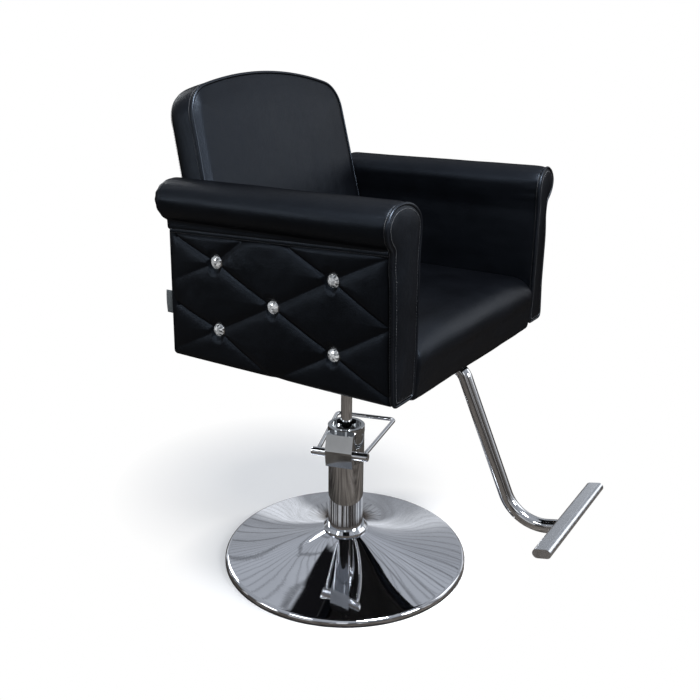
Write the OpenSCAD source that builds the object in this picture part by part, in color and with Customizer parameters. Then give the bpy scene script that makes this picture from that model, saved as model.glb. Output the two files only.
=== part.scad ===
// Salon styling chair: hydraulic pump on a round chromed base, swivelling
// upholstered seat with scroll arms, and a T-bar footrest.
// Millimetres. +Z up, the sitter faces -Y, origin on the floor on the pump axis.

/* [Base] */
// Outside diameter of the round base
base_d = 560; // [480:1:640]
// Height of the dish at its centre collar
dish_h = 70; // [55:1:95]
// Wall of the pressed dish
dish_t = 2.5; // [2:0.5:4]
// Diameter of the ballast plate inside the dish
ballast_d = 532; // [440:1:540]
// Thickness of the ballast plate
ballast_t = 6; // [4:1:8]

/* [Pump] */
// Outside diameter of the pump's reservoir tube
pump_d = 80; // [76:1:86]
// Height of the pump's top above the floor
pump_top = 331.5; // [320:0.5:345]
// Piston rod diameter
rod_d = 25; // [22:0.5:28]
// Radial running clearance of sliding and turning fits
fit_c = 0.05; // [0.02:0.01:0.09]
// Height of the lever's cross shaft above the floor
shaft_z = 280; // [275:1:285]
// Cross shaft offset from the pump axis
shaft_off = 50; // [48:1:52]
// Cross shaft diameter
shaft_d = 19; // [16:1:19]
// Cross shaft length, tip to tip
shaft_len = 131; // [120:1:140]
// Heading of the foot lever, in degrees from +X
lever_az = 17.02; // [0:0.01:45]
// Reach of the lever's bar from the pump axis
lever_reach = 171; // [150:1:185]
// Lever wire diameter
lever_wire = 9.5; // [8:0.5:11]

/* [Seat] */
// Inside width between the arms
seat_w = 528; // [500:1:560]
// Height of the seat's underside
seat_bottom = 541.5; // [540:0.5:550]
// Height of the cushion at its edges
seat_top = 656; // [650:1:670]
// Front of the cushion, measured forward of the pump axis
seat_front = 315; // [300:1:330]
// Crown of the cushion above its edges
seat_crown = 10; // [0:1:16]

/* [Arms] */
// Underside of the arms
arm_bottom = 555.6; // [550:0.1:560]
// Total thickness of an arm below its scroll
arm_t = 67; // [60:1:72]
// Radius of the scroll
scroll_r = 48.5; // [44:0.5:52]
// Height of the scroll's axis
scroll_z = 843; // [830:1:850]
// Sideways place of the scroll's axis
scroll_x = 308; // [300:1:312]
// Front of the arms, forward of the pump axis
arm_front = 311; // [300:1:320]
// Back of the arms, behind the pump axis
arm_back = 186; // [170:1:200]
// Thickness of the arm's front facing
facing_t = 20; // [16:1:24]

/* [Backrest] */
// Recline of the backrest from upright, in degrees
recline = 12.87; // [8:0.01:16]
// Where its front face crosses the pivot height of 850
back_y = 152.3; // [140:0.1:160]
// Half-width of the backrest at that height
back_hw = 254.3; // [240:0.1:256]
// Height of the top above that height, along the backrest
back_up = 229.5; // [200:0.5:250]
// Depth of the bottom below that height, along the backrest
back_down = 300; // [280:1:305]
// Thickness of the padded front
back_front_t = 27; // [22:1:32]
// Thickness of the padded rear
back_rear_t = 18; // [14:1:22]
// Thickness of the wooden board
back_board_t = 12; // [9:1:15]

/* [Footrest] */
// Footrest tube diameter
tube_d = 28; // [25:0.5:32]
// Footrest tube wall
tube_wall = 2; // [1.5:0.5:3]
// Length of the crossbar without its end caps
bar_len = 300; // [260:1:320]
// Width of the crossbar's flat-oval section
bar_w = 36; // [32:1:40]
// Thickness of the crossbar's section
bar_t = 18; // [16:1:20]

/* [Crystals] */
// Diameter of a crystal's setting
cup_d = 28; // [24:1:32]
// Diameter of a crystal
gem_d = 23; // [18:0.5:26]
// Number of facets round a crystal
gem_facets = 12; // [8:2:12]

/* [Hidden] */
$fn = 64;
e = 0.01;

base_r = base_d / 2;
rod_r = rod_d / 2;
pump_r = pump_d / 2;
head_z = 247;                 // underside of the pump head
foot_top = ballast_t + 10;    // top of the pump's foot flange
cyl_r = 19.5;                 // pressure cylinder, outside
bore_r = 16.5;                // pressure cylinder, inside
plunger_off = 28;             // plunger axis from the pump axis
plunger_r = 5;
plunger_top = shaft_z - 5.5;
frame_top = 598;
board_top = 610;
half_seat = seat_w / 2;       // inner face of an arm
arm_in = half_seat;
arm_out = half_seat + arm_t;
pad_in_t = 20;
pad_out_t = 22;
core_in = arm_in + pad_in_t;
core_out = arm_out - pad_out_t;
gap = 0.2;

// sideways arc of points, from angle a0 to a1, about (cx, cy)
function arc(cx, cy, r, a0, a1, n) =
    [for (i = [0:n]) [cx + r * cos(a0 + (a1 - a0) * i / n), cy + r * sin(a0 + (a1 - a0) * i / n)]];

// path along a turn about c: [place, heading] from heading h0 to h1, in n steps
function turn_pts(c, r, h0, h1, n) = let (s = h1 > h0 ? 1 : -1)
    [for (i = [0:n]) let (h = h0 + (h1 - h0) * i / n) [c + r * s * [sin(h), -cos(h)], h]];

// ring of k points round a path point, in the plane across its heading
function ring(p, r, k) = [for (j = [0:k - 1]) let (u = r * cos(360 * j / k), v = r * sin(360 * j / k))
    [p[0][0] - u * sin(p[1]), p[0][1] + u * cos(p[1]), v]];

// side faces between n rings of k points that start at point s0
function skin_faces(n, k, s0, flip) = [for (i = [0:n - 2], j = [0:k - 1])
    let (a = s0 + i * k + j, b = s0 + i * k + (j + 1) % k, c = b + k, d = a + k)
    flip ? [a, b, c, d] : [d, c, b, a]];

// solid rod swept along a path in the XY plane
module sweep_rod(path, r, k) {
    n = len(path);
    pts = [for (p = path) each ring(p, r, k)];
    faces = concat(skin_faces(n, k, 0, false),
        [[for (j = [0:k - 1]) j], [for (j = [k - 1:-1:0]) (n - 1) * k + j]]);
    polyhedron(points = pts, faces = faces, convexity = 6);
}

// tube swept along a path in the XY plane
module sweep_tube(path, r, ri, k) {
    n = len(path);
    m = n * k;
    pts = concat([for (p = path) each ring(p, r, k)], [for (p = path) each ring(p, ri, k)]);
    caps = [for (j = [0:k - 1]) let (q = (j + 1) % k) each [
        [j, q, m + q, m + j],
        [m - k + q, m - k + j, 2 * m - k + j, 2 * m - k + q]]];
    polyhedron(points = pts, faces = concat(skin_faces(n, k, 0, false), skin_faces(n, k, m, true), caps), convexity = 6);
}

// ---------------------------------------------------------------- base

// height of the dish's outer face at radius r: a shallow cone that steepens towards the pump
function dish_z(r) = let (t = (base_r - 8 - r) / (base_r - 8 - 46)) 15 + (dish_h - 15) * (0.72 * t + 0.28 * pow(t, 3));

module base_dish() {
    n = 22;
    outer = [for (i = [0:n]) let (r = 46 + (base_r - 8 - 46) * i / n) [r, dish_z(r)]];
    inner = [for (i = [n:-1:0]) let (r = 46 + (base_r - 8 - 46) * i / n) [r, dish_z(r) - dish_t]];
    rim_out = arc(base_r - 9, 6, 9, 80, 0, 6);
    rim_in = arc(base_r - 9, 6, 9 - dish_t, 0, 84, 6);
    color("silver")
    rotate_extrude($fn = 128)
        polygon(concat(outer, rim_out, [[base_r, 4], [base_r - dish_t, 4]], rim_in, inner));
}

module ballast_plate() {
    color("dimgray") difference() {
        cylinder(d = ballast_d, h = ballast_t);
        for (a = [45:90:315]) rotate(a) translate([52, 0, -e]) cylinder(d = 10, h = ballast_t + 1);
    }
}

module rim_gasket() {
    color("black") difference() {
        cylinder(r = base_r, h = 4, $fn = 128);
        translate([0, 0, -1]) cylinder(r = base_r - 10, h = 6, $fn = 128);
    }
}

// stepped trim ring that closes the dish round the pump
module base_collar() {
    color("silver") difference() {
        union() {
            translate([0, 0, dish_h - 1.5 + 2]) cylinder(r = 52, h = 5);
            translate([0, 0, dish_h + 5.5]) cylinder(r1 = 50, r2 = 44, h = 6);
        }
        translate([0, 0, 40]) cylinder(r = pump_r, h = 60);
    }
}

module pump_foot() {
    color("gray") difference() {
        translate([0, 0, ballast_t]) cylinder(r = 66, h = 10);
        for (a = [45:90:315]) rotate(a) translate([52, 0, 0]) cylinder(d = 10, h = 40);
    }
}

module pump_foot_bolts() {
    color("silver") for (a = [45:90:315]) rotate(a) translate([52, 0, 0]) {
        translate([0, 0, 2]) cylinder(d = 10, h = foot_top - 2);
        translate([0, 0, foot_top]) cylinder(d = 17, h = 6.4, $fn = 6);
    }
}

module pump_tube() {
    color("silver") difference() {
        translate([0, 0, foot_top]) cylinder(r = pump_r, h = head_z - foot_top);
        translate([0, 0, foot_top - 1]) cylinder(r = pump_r - 3.5, h = head_z);
    }
}

module inner_cylinder() {
    color("gainsboro") difference() {
        translate([0, 0, foot_top]) cylinder(r = cyl_r, h = head_z - foot_top);
        translate([0, 0, foot_top - 1]) cylinder(r = bore_r, h = head_z);
    }
}

// a child's +X runs along the lever, its +Y along the cross shaft, origin on the pump axis
module lever_frame() { rotate(lever_az) children(); }

module plunger_barrel() {
    color("gainsboro") lever_frame() translate([-plunger_off, 0, 0]) difference() {
        translate([0, 0, 168]) cylinder(r = 7.5, h = head_z - 168, $fn = 48);
        translate([0, 0, 172]) cylinder(r = plunger_r + fit_c, h = 100, $fn = 48);
    }
}

// head casting: rod guide, gland recess, and the boss that carries the cross shaft
module pump_head() {
    boss = [[-24, pump_top - 7], [-52, pump_top - 7], [-64, 289], [-64, 284], [-57, 250], [-24, 250]];
    color("silver") difference() {
        union() {
            translate([0, 0, head_z]) cylinder(r = pump_r + 0.8, h = 66);
            translate([0, 0, head_z + 66]) cylinder(r1 = pump_r + 0.8, r2 = pump_r + 1.5, h = 3);
            translate([0, 0, head_z + 69]) cylinder(r = pump_r + 1.5, h = pump_top - head_z - 70);
            translate([0, 0, pump_top - 1]) cylinder(r1 = pump_r + 1.5, r2 = pump_r + 0.5, h = 1);
            lever_frame() rotate([90, 0, 0]) translate([0, 0, -30.5])
                linear_extrude(height = 61) polygon(boss);
        }
        // rod guide
        translate([0, 0, head_z - 1]) cylinder(r = rod_r + fit_c, h = 120);
        // gland recess
        translate([0, 0, pump_top - 15.5]) cylinder(r = 33, h = 30);
        // cross shaft bore
        lever_frame() translate([-shaft_off, 0, shaft_z]) rotate([90, 0, 0])
            cylinder(r = shaft_d / 2 + fit_c, h = 100, center = true);
        // chamber of the cam, and the plunger's guide under it
        lever_frame() translate([-shaft_off, -7, 258]) cube([29, 14, 34]);
        lever_frame() translate([-plunger_off, 0, head_z - 1]) cylinder(r = plunger_r + fit_c, h = 14, $fn = 48);
    }
}

module rod_seal() {
    color("black") translate([0, 0, pump_top - 15.5]) difference() {
        union() {
            cylinder(r = 21, h = 4);
            translate([0, 0, 4]) cylinder(r1 = 18.5, r2 = 16, h = 4);
        }
        translate([0, 0, -1]) cylinder(r = rod_r + fit_c, h = 20);
    }
}

// ---------------------------------------------------------------- lift

module piston_rod() {
    color("silver") union() {
        translate([0, 0, 160]) cylinder(r = rod_r, h = 370 - e);
        translate([0, 0, 530 - e]) cylinder(r1 = rod_r, r2 = rod_r - 1.5, h = 3);
    }
}

module piston() {
    color("gainsboro") difference() {
        translate([0, 0, 164]) cylinder(r = bore_r - fit_c, h = 26);
        translate([0, 0, 160]) cylinder(r = rod_r, h = 40);
        translate([0, 0, 174]) difference() {
            cylinder(r = bore_r + 1, h = 5);
            cylinder(r = bore_r - 2.4, h = 5);
        }
    }
}

module piston_seal() {
    color("black") translate([0, 0, 174]) difference() {
        cylinder(r = bore_r - fit_c, h = 5);
        translate([0, 0, -1]) cylinder(r = bore_r - 2.4, h = 8);
    }
}

// ---------------------------------------------------------------- lever

module lever_shaft() {
    h = shaft_len / 2;
    r = shaft_d / 2;
    color("silver") lever_frame() difference() {
        translate([-shaft_off, 0, shaft_z]) rotate([90, 0, 0])
            rotate_extrude($fn = 48) polygon([[0, -h], [r - 3.5, -h], [r - 1, -h + 1], [r, -h + 4],
                [r, h - 4], [r - 1, h - 1], [r - 3.5, h], [0, h]]);
        for (s = [-1, 1]) translate([-shaft_off, s * lever_w0, shaft_z]) rotate([0, 0, s * lever_splay])
            rotate([0, 90, 0]) cylinder(d = lever_wire, h = 40, $fn = 48);
    }
}

// finger on the cross shaft that presses the plunger
module lever_cam() {
    color("dimgray") lever_frame() translate([-shaft_off, 0, shaft_z]) rotate([90, 0, 0]) difference() {
        union() {
            translate([0, -5, -6]) cube([shaft_off - plunger_off, 10, 12]);
            translate([shaft_off - plunger_off, 0, -6]) cylinder(r = 5, h = 12, $fn = 32);
        }
        translate([0, 0, -10]) cylinder(r = shaft_d / 2, h = 20, $fn = 48);
    }
}

// bent wire bail: two struts from the cross shaft and the bar that the foot presses
lever_w0 = 52;                                 // half spacing at the cross shaft
lever_w1 = 72;                                 // half spacing at the bar
lever_bend = 10;                               // centre-line radius of the two bends
lever_dx = lever_reach + shaft_off;
lever_splay = atan2(lever_w1 - lever_w0, lever_dx);

module foot_lever() {
    wr = lever_wire / 2;
    h = lever_splay;
    t = lever_bend * tan((90 + h) / 2);
    d = [cos(h), sin(h)];
    a = [-shaft_off, lever_w0];
    corner = [lever_reach, lever_w1];
    c1 = corner - t * d + lever_bend * [sin(h), -cos(h)];
    c2 = [c1[0], -c1[1]];
    path = concat(
        [[a + 0.5 * d, h]],
        turn_pts(c1, lever_bend, h, -90, 8),
        turn_pts(c2, lever_bend, -90, -180 - h, 8),
        [[[a[0] + 0.5 * d[0], -a[1] - 0.5 * d[1]], -180 - h]]);
    color("silver") lever_frame() translate([0, 0, shaft_z]) sweep_rod(path, wr, 24);
}

module pump_plunger() {
    color("silver") lever_frame() translate([-plunger_off, 0, 188])
        cylinder(r = plunger_r, h = plunger_top - 188, $fn = 48);
}

// ---------------------------------------------------------------- seat underside

module swivel_hub() {
    color("dimgray") difference() {
        union() {
            translate([0, 0, 486]) cylinder(r = 24, h = 52);
            translate([0, 0, 530]) cylinder(r = 45, h = 8);
            for (a = [45:90:315]) rotate(a) rotate([90, 0, 0]) linear_extrude(height = 6, center = true)
                polygon([[20, 500], [24, 500], [44, 530], [44, 532], [20, 532]]);
        }
        translate([0, 0, 480]) cylinder(r = rod_r + fit_c, h = 53.4);
    }
}

module mount_plate() {
    color("dimgray") difference() {
        translate([-110, -95, 538]) cube([220, 190, 5]);
        for (x = [-90, 90], y = [-75, 75]) translate([x, y, 530]) cylinder(d = 8.5, h = 20);
    }
}

module mount_bolts() {
    color("silver") for (x = [-90, 90], y = [-75, 75]) translate([x, y, 0]) {
        translate([0, 0, 538]) cylinder(d = 8.5, h = 40);
        translate([0, 0, 533]) cylinder(d = 13, h = 5, $fn = 6);
    }
}

// wooden frame: four rails and two cross rails that carry the mount plate
module seat_frame() {
    w = half_seat - 1;
    color("burlywood") difference() {
        translate([-w, -292, 543]) cube([2 * w, 392, frame_top - 543]);
        translate([-w + 26, -252, 540]) cube([2 * w - 52, 142, 80]);
        translate([-w + 26, -50, 540]) cube([2 * w - 52, 0.1 + 99.9, 80]);
        // holes for the plate's bolts and the arm bolts
        for (x = [-90, 90], y = [-75, 75]) translate([x, y, 540]) cylinder(d = 8.5, h = 38);
        for (y = [-250, -110, 40], s = [-1, 1]) translate([s * (w + 1), y, 578]) rotate([0, 90, 0])
            cylinder(d = 8, h = 44, center = true);
        for (x = [-32, 32], y = [-272, -100]) translate([x, y, 540]) cylinder(d = 6, h = 28);
        for (x = [-150, 150]) translate([x, 80, 540]) cylinder(d = 8, h = 30);
    }
}

module seat_board() {
    w = half_seat - 1;
    color("burlywood") translate([-w, -292, frame_top]) cube([2 * w, 378, board_top - frame_top]);
}

module dust_cover() {
    w = half_seat - 6;
    color("black") difference() {
        translate([-w, -286, 541.5]) cube([2 * w, 380, 1.5]);
        translate([-112, -97, 530]) cube([224, 194, 20]);
        translate([-48, -285, 530]) cube([96, 190, 20]);
        for (x = [-150, 150]) translate([x - 22, 52, 530]) cube([44, 60, 20]);
    }
}

// front face of the backrest: y at height z
function back_face(z) = back_y + (z - 850) * tan(recline);

module seat_cushion() {
    r = 38;
    z0 = board_top;
    top = seat_top + seat_crown;
    profile = concat(
        [[back_face(z0) - 0.5, z0 + gap], [-292 - gap, z0 + gap], [-292 - gap, seat_bottom]],
        arc(-seat_front + 8, seat_bottom + 8, 8, 270, 180, 4),
        arc(-seat_front + r, top - r, r, 180, 90, 8),
        [[back_face(top) - 0.5, top]]);
    color("#161616") rotate([90, 0, 90]) translate([0, 0, -half_seat + 1])
        linear_extrude(height = seat_w - 2) polygon(profile);
}

// ---------------------------------------------------------------- arms

// places a left-hand child (at +X) on the left, or mirrored on the right
module on_side(s) { mirror([s < 0 ? 1 : 0, 0, 0]) children(); }

// slab of an arm between x0 and x1, from y0 to y1, cut under the scroll
module arm_slab(x0, x1, y0, y1) {
    difference() {
        translate([x0, y0, arm_bottom]) cube([x1 - x0, y1 - y0, scroll_z - arm_bottom]);
        translate([scroll_x, 0, scroll_z]) rotate([90, 0, 0]) cylinder(r = scroll_r + gap, h = 900, center = true);
    }
}

module arm_frame(s) {
    color("burlywood") on_side(s) difference() {
        arm_slab(core_in, core_out, -arm_front + facing_t, arm_back - 20);
        for (y = [-250, -110, 40]) translate([core_in - 1, y, 578]) rotate([0, 90, 0]) cylinder(d = 8, h = 16);
    }
}
module arm_frame_right() arm_frame(-1);
module arm_frame_left() arm_frame(1);

// bolts through each arm into the seat frame
module arm_bolts() {
    color("silver") for (s = [-1, 1], y = [-250, -110, 40]) on_side(s)
        translate([half_seat - 19, y, 578]) rotate([0, 90, 0]) cylinder(d = 8, h = 19 + pad_in_t + 14);
}

// places of the five crystals on an arm's side, as [y, z]
gem_places = [[70, 750.5], [-186, 753.5], [-58, 687], [70, 623], [-186.5, 624]];

module arm_side_panel(s) {
    color("#141414") on_side(s) difference() {
        arm_slab(core_out, arm_out, -arm_front + facing_t, arm_back - 20);
        for (p = gem_places) translate([arm_out - 9, p[0], p[1]]) rotate([0, 90, 0]) cylinder(d = cup_d, h = 20);
    }
}
module arm_side_panel_right() arm_side_panel(-1);
module arm_side_panel_left() arm_side_panel(1);

module arm_inner_pad(s) {
    color("#161616") on_side(s) difference() {
        arm_slab(arm_in, core_in, -arm_front + facing_t, arm_back - 20);
        for (y = [-250, -110, 40]) translate([arm_in - 1, y, 578]) rotate([0, 90, 0]) cylinder(d = 8, h = 40);
    }
}
module arm_inner_pad_right() arm_inner_pad(-1);
module arm_inner_pad_left() arm_inner_pad(1);

// round scroll along the top of the arm, domed at its rear end
module arm_scroll(s) {
    dome = 26;
    l = arm_back + arm_front - facing_t;
    color("#161616") on_side(s) translate([scroll_x, -arm_front + facing_t, scroll_z]) rotate([-90, 0, 0])
        rotate_extrude($fn = 64) polygon(concat([[0, 0], [scroll_r, 0]],
            [for (a = [0:9:90]) [scroll_r * cos(a), l + dome * sin(a)]]));
}
module arm_scroll_right() arm_scroll(-1);
module arm_scroll_left() arm_scroll(1);

// keyhole-shaped facing that closes the front of the arm
module arm_facing(s) {
    color("#181818") on_side(s) translate([0, -arm_front + facing_t, 0]) rotate([90, 0, 0])
        linear_extrude(height = facing_t) union() {
            translate([scroll_x, scroll_z]) circle(r = scroll_r);
            translate([arm_in, arm_bottom + 12]) square([arm_t, scroll_z - arm_bottom - 12]);
            translate([arm_in + 12, arm_bottom]) square([arm_t - 24, 20]);
            for (x = [arm_in + 12, arm_out - 12]) translate([x, arm_bottom + 12]) circle(r = 12);
        }
}
module arm_facing_right() arm_facing(-1);
module arm_facing_left() arm_facing(1);

module arm_rear_pad(s) {
    color("#161616") on_side(s) arm_slab(arm_in, arm_out, arm_back - 20, arm_back);
}
module arm_rear_pad_right() arm_rear_pad(-1);
module arm_rear_pad_left() arm_rear_pad(1);

// dished metal settings, one under each crystal
module crystal_cups(s) {
    r = cup_d / 2;
    color("silver") on_side(s) for (p = gem_places) translate([arm_out - 9, p[0], p[1]]) rotate([0, 90, 0])
        rotate_extrude($fn = 32) polygon([[0, 0], [r - 2, 0], [r, 2], [r, 5], [r - 2.5, 7.4],
            [gem_d / 2, 6], [gem_d / 2, 4], [0, 4]]);
}
module crystal_cups_right() crystal_cups(-1);
module crystal_cups_left() crystal_cups(1);

// faceted crystals: girdle, crown and table
module crystals(s) {
    r = gem_d / 2;
    color("lightcyan") on_side(s) for (p = gem_places) translate([arm_out - 5, p[0], p[1]]) rotate([0, 90, 0]) {
        cylinder(r = r, h = 2.5, $fn = gem_facets);
        translate([0, 0, 2.5]) cylinder(r1 = r, r2 = r * 0.55, h = 5, $fn = gem_facets);
    }
}
module crystals_right() crystals(-1);
module crystals_left() crystals(1);

// plain woven tab sewn into the rear seam of the right arm
module blank_tab() {
    color("#202020") translate([-arm_out + 2, arm_back, 637]) cube([1.6, 13, 44]);
}

// ---------------------------------------------------------------- backrest

// a child drawn in (x, up) is laid in the backrest's plane, n0 behind its front face, and made t thick
module in_back(n0, t) {
    translate([0, back_y, 850]) rotate([90 - recline, 0, 0]) translate([0, 0, -n0 - t])
        linear_extrude(height = t) children();
}

// outline of the backrest: tapered sides, round upper corners and an arched top
module back_outline(inset = 0) {
    taper = 0.0455;
    big = 880;
    rc = 62;
    cy = back_up - big;
    cx = back_hw - taper * 150 - rc - 0.5;
    cz = cy + sqrt(pow(big - rc, 2) - cx * cx);
    a1 = atan2(cz - cy, cx);
    lo = -back_down;
    knee = (back_hw - 259) / taper;
    corner = arc(cx, cz, rc - inset, 2.6, a1, 8);
    top = [for (i = [1:9]) let (a = a1 + (90 - a1) * i / 10) [(big - inset) * cos(a), cy + (big - inset) * sin(a)]];
    right = concat([[259 - inset, lo + inset], [259 - inset, knee]], corner, top);
    left = [for (i = [len(right) - 1:-1:0]) [-right[i][0], right[i][1]]];
    polygon(concat(right, [[0, back_up - inset]], left));
}

module back_pad() {
    color("#161616") in_back(0, back_front_t) intersection() {
        back_outline();
        translate([-400, -back_down + 52]) square([800, 800]);
    }
}

module back_board() {
    color("burlywood") difference() {
        in_back(back_front_t, back_board_t) back_outline(6);
        back_bolt_holes(5);
    }
}

// axes of the bolts that hold the backrest to its brackets
module back_bolt_holes(d) {
    translate([0, back_y, 850]) rotate([90 - recline, 0, 0])
        for (x = [-150, 150], h = [-170, -215]) translate([x, h, -back_front_t - back_board_t - 5.5])
            cylinder(d = d, h = back_board_t + 5.5 - 2, $fn = 32);
}

module back_rear_pad() {
    color("#161616") difference() {
        in_back(back_front_t + back_board_t, back_rear_t) back_outline();
        // pockets over the two brackets
        translate([0, back_y, 850]) rotate([90 - recline, 0, 0]) for (x = [-150, 150])
            translate([x - 21, -back_down - 5, -back_front_t - back_board_t - 10.5]) cube([42, 165, 12]);
    }
}

// bent flat bars from under the seat frame up the back of the board
module back_brackets() {
    n1 = back_front_t + back_board_t;
    ca = cos(recline);
    sa = sin(recline);
    // point in the (y, z) plane at height h along the backrest and n behind its front face
    function bp(h, n) = [back_y + h * sa + n * ca, 850 + h * ca - n * sa];
    zb = 538.5;
    zt = 543;
    hb = (zb - 850 + n1 * sa) / ca;
    ht = (zt - 850 + (n1 + 5) * sa) / ca;
    hi = (zt - 850 + n1 * sa) / ca;
    ho = (zb - 850 + (n1 + 5) * sa) / ca;
    color("dimgray") difference() {
        for (x = [-150, 150]) translate([x - 20, 0, 0]) rotate([90, 0, 90]) linear_extrude(height = 40)
            polygon([[54, zb], bp(ho, n1 + 5), bp(-145, n1 + 5), bp(-145, n1), bp(hi, n1), [54, zt]]);
        back_bolt_holes(5);
        for (x = [-150, 150]) translate([x, 80, 530]) cylinder(d = 8, h = 30);
    }
}

module back_bolts() {
    color("silver") {
        back_bolt_holes(5);
        translate([0, back_y, 850]) rotate([90 - recline, 0, 0])
            for (x = [-150, 150], h = [-170, -215]) translate([x, h, -back_front_t - back_board_t - 9])
                cylinder(d = 9, h = 3.5 + e, $fn = 32);
        for (x = [-150, 150]) translate([x, 80, 0]) {
            translate([0, 0, 538.5]) cylinder(d = 8, h = 28);
            translate([0, 0, 534]) cylinder(d = 13, h = 4.5 + e, $fn = 6);
        }
    }
}

// ---------------------------------------------------------------- footrest
// The tube lies in the plane x = 0, its centre line drawn in (y, z).

tube_r = tube_d / 2;
run_z = 522.5;                                 // height of the run under the seat
run_back = -112;                               // rear end of that run
drop = [-sin(24.27), -cos(24.27)];             // direction of the long leg
rise = [-cos(15), sin(15)];                    // direction of the foot end
knee_pt = [-413.4, 212.6];                     // where leg and foot end would meet
shin = knee_pt - drop * ((run_z - knee_pt[1]) / cos(24.27));
bend_a = 36;                                   // centre-line radius under the seat
bend_b = 80;                                   // centre-line radius at the foot
turn_a = 90 - 24.27;
turn_b = 90 - 24.27 + 15;
ta_len = bend_a * tan(turn_a / 2);
tb_len = bend_b * tan(turn_b / 2);
bar_c = [-520.5, 262.3];                       // centre of the crossbar's section
foot_end = 104;                                // length of the foot end past the knee point

// the tube's centre line in the (y, z) plane, from under the seat to the foot end
tube_path = let (
        pa = shin + [ta_len, 0],
        pd = knee_pt + rise * tb_len,
        pc = knee_pt - drop * tb_len)
    concat([[[run_back, run_z], 180]],
        turn_pts([pa[0], run_z - bend_a], bend_a, 180, 180 + turn_a, 8),
        turn_pts(pc + bend_b * [-cos(24.27), sin(24.27)], bend_b, 180 + turn_a, 165, 12),
        [[knee_pt + rise * foot_end, 165]]);

// flat-oval section placed at the end of the footrest, extruded along X
module bar_section(w, t, len) {
    rotate([90, 0, 90]) translate([bar_c[0], bar_c[1], -len / 2]) rotate(-15)
        linear_extrude(height = len) union() {
            square([w - t, t], center = true);
            for (s = [-1, 1]) translate([s * (w - t) / 2, 0]) circle(r = t / 2);
        }
}

module footrest_tube() {
    color("silver") difference() {
        rotate([90, 0, 90]) sweep_tube(tube_path, tube_r, tube_r - tube_wall, 32);
        bar_section(bar_w, bar_t, bar_len);
    }
}

module footrest_plugs() {
    color("black") difference() {
        union() {
            translate([0, run_back - 12, run_z]) rotate([-90, 0, 0]) cylinder(r = tube_r - tube_wall - 0.15, h = 12);
            translate([0, run_back, run_z]) rotate([-90, 0, 0]) cylinder(r = tube_r, h = 3);
            rotate([90, 0, 90]) translate([knee_pt[0] + rise[0] * (foot_end - 10), knee_pt[1] + rise[1] * (foot_end - 10), 0])
                rotate([0, 0, 165]) rotate([0, 90, 0]) {
                    cylinder(r = tube_r - tube_wall - 0.15, h = 10);
                    translate([0, 0, 10]) cylinder(r = tube_r, h = 2);
                }
        }
        bar_section(bar_w, bar_t, bar_len);
    }
}

module footrest_bar() {
    color("silver") difference() {
        bar_section(bar_w, bar_t, bar_len);
        bar_section(bar_w - 4, bar_t - 4, bar_len + 2);
    }
}

module footrest_caps() {
    color("silver") for (s = [0, 1]) mirror([s, 0, 0]) {
        translate([bar_len / 2 + 1.8, 0, 0]) bar_section(bar_w, bar_t, 3.6);
        translate([bar_len / 2 - 5, 0, 0]) bar_section(bar_w - 4, bar_t - 4, 10);
    }
}

// steel plate with two saddles, welded to the tube and screwed under the frame
module footrest_plate() {
    color("dimgray") difference() {
        union() {
            translate([-45, -284, 536.5]) cube([90, 188, 5]);
            for (y = [-236, -150]) translate([-19, y, 516]) cube([38, 22, 21]);
        }
        translate([0, -300, run_z]) rotate([-90, 0, 0]) cylinder(r = tube_r, h = 300);
        for (x = [-32, 32], y = [-272, -100]) translate([x, y, 530]) cylinder(d = 6, h = 20);
        translate([-120, -96, 530]) cube([240, 10, 20]);
    }
}

module footrest_bolts() {
    color("silver") for (x = [-32, 32], y = [-272, -100]) translate([x, y, 0]) {
        translate([0, 0, 536.5]) cylinder(d = 6, h = 30);
        translate([0, 0, 532.5]) cylinder(d = 10, h = 4 + e, $fn = 6);
    }
}

base_dish();
ballast_plate();
rim_gasket();
base_collar();
pump_foot();
pump_foot_bolts();
pump_tube();
inner_cylinder();
plunger_barrel();
pump_head();
rod_seal();
piston_rod();
piston();
piston_seal();
lever_shaft();
lever_cam();
foot_lever();
pump_plunger();
swivel_hub();
mount_plate();
mount_bolts();
seat_frame();
seat_board();
dust_cover();
seat_cushion();
arm_frame_right();
arm_frame_left();
arm_bolts();
arm_side_panel_right();
arm_side_panel_left();
arm_inner_pad_right();
arm_inner_pad_left();
arm_scroll_right();
arm_scroll_left();
arm_facing_right();
arm_facing_left();
arm_rear_pad_right();
arm_rear_pad_left();
crystal_cups_right();
crystal_cups_left();
crystals_right();
crystals_left();
blank_tab();
back_board();
back_pad();
back_rear_pad();
back_brackets();
back_bolts();
footrest_plate();
footrest_bolts();
footrest_tube();
footrest_plugs();
footrest_bar();
footrest_caps();
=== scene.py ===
import math

import bmesh
import bpy
import numpy as np
from mathutils import Matrix, Vector, noise


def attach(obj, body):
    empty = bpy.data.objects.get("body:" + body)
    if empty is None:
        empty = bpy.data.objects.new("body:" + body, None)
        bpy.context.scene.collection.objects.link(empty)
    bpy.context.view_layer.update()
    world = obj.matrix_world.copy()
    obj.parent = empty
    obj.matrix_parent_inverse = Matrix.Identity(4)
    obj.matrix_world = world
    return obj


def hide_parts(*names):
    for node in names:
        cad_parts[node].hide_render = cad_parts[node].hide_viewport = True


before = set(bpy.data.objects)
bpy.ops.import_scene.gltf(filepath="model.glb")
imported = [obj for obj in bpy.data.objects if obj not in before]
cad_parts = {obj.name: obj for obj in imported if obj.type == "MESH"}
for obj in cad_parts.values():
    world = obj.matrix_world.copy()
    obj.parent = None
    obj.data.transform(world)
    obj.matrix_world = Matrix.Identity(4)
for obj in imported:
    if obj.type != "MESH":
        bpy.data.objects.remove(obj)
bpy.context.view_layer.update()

# ------------------------------------------------------------------ camera
CAM = (-1.4361, -0.9334, 1.0877)
AIM = (0.0034, -0.0052, 0.5057)
ROLL = -0.6413


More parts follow.
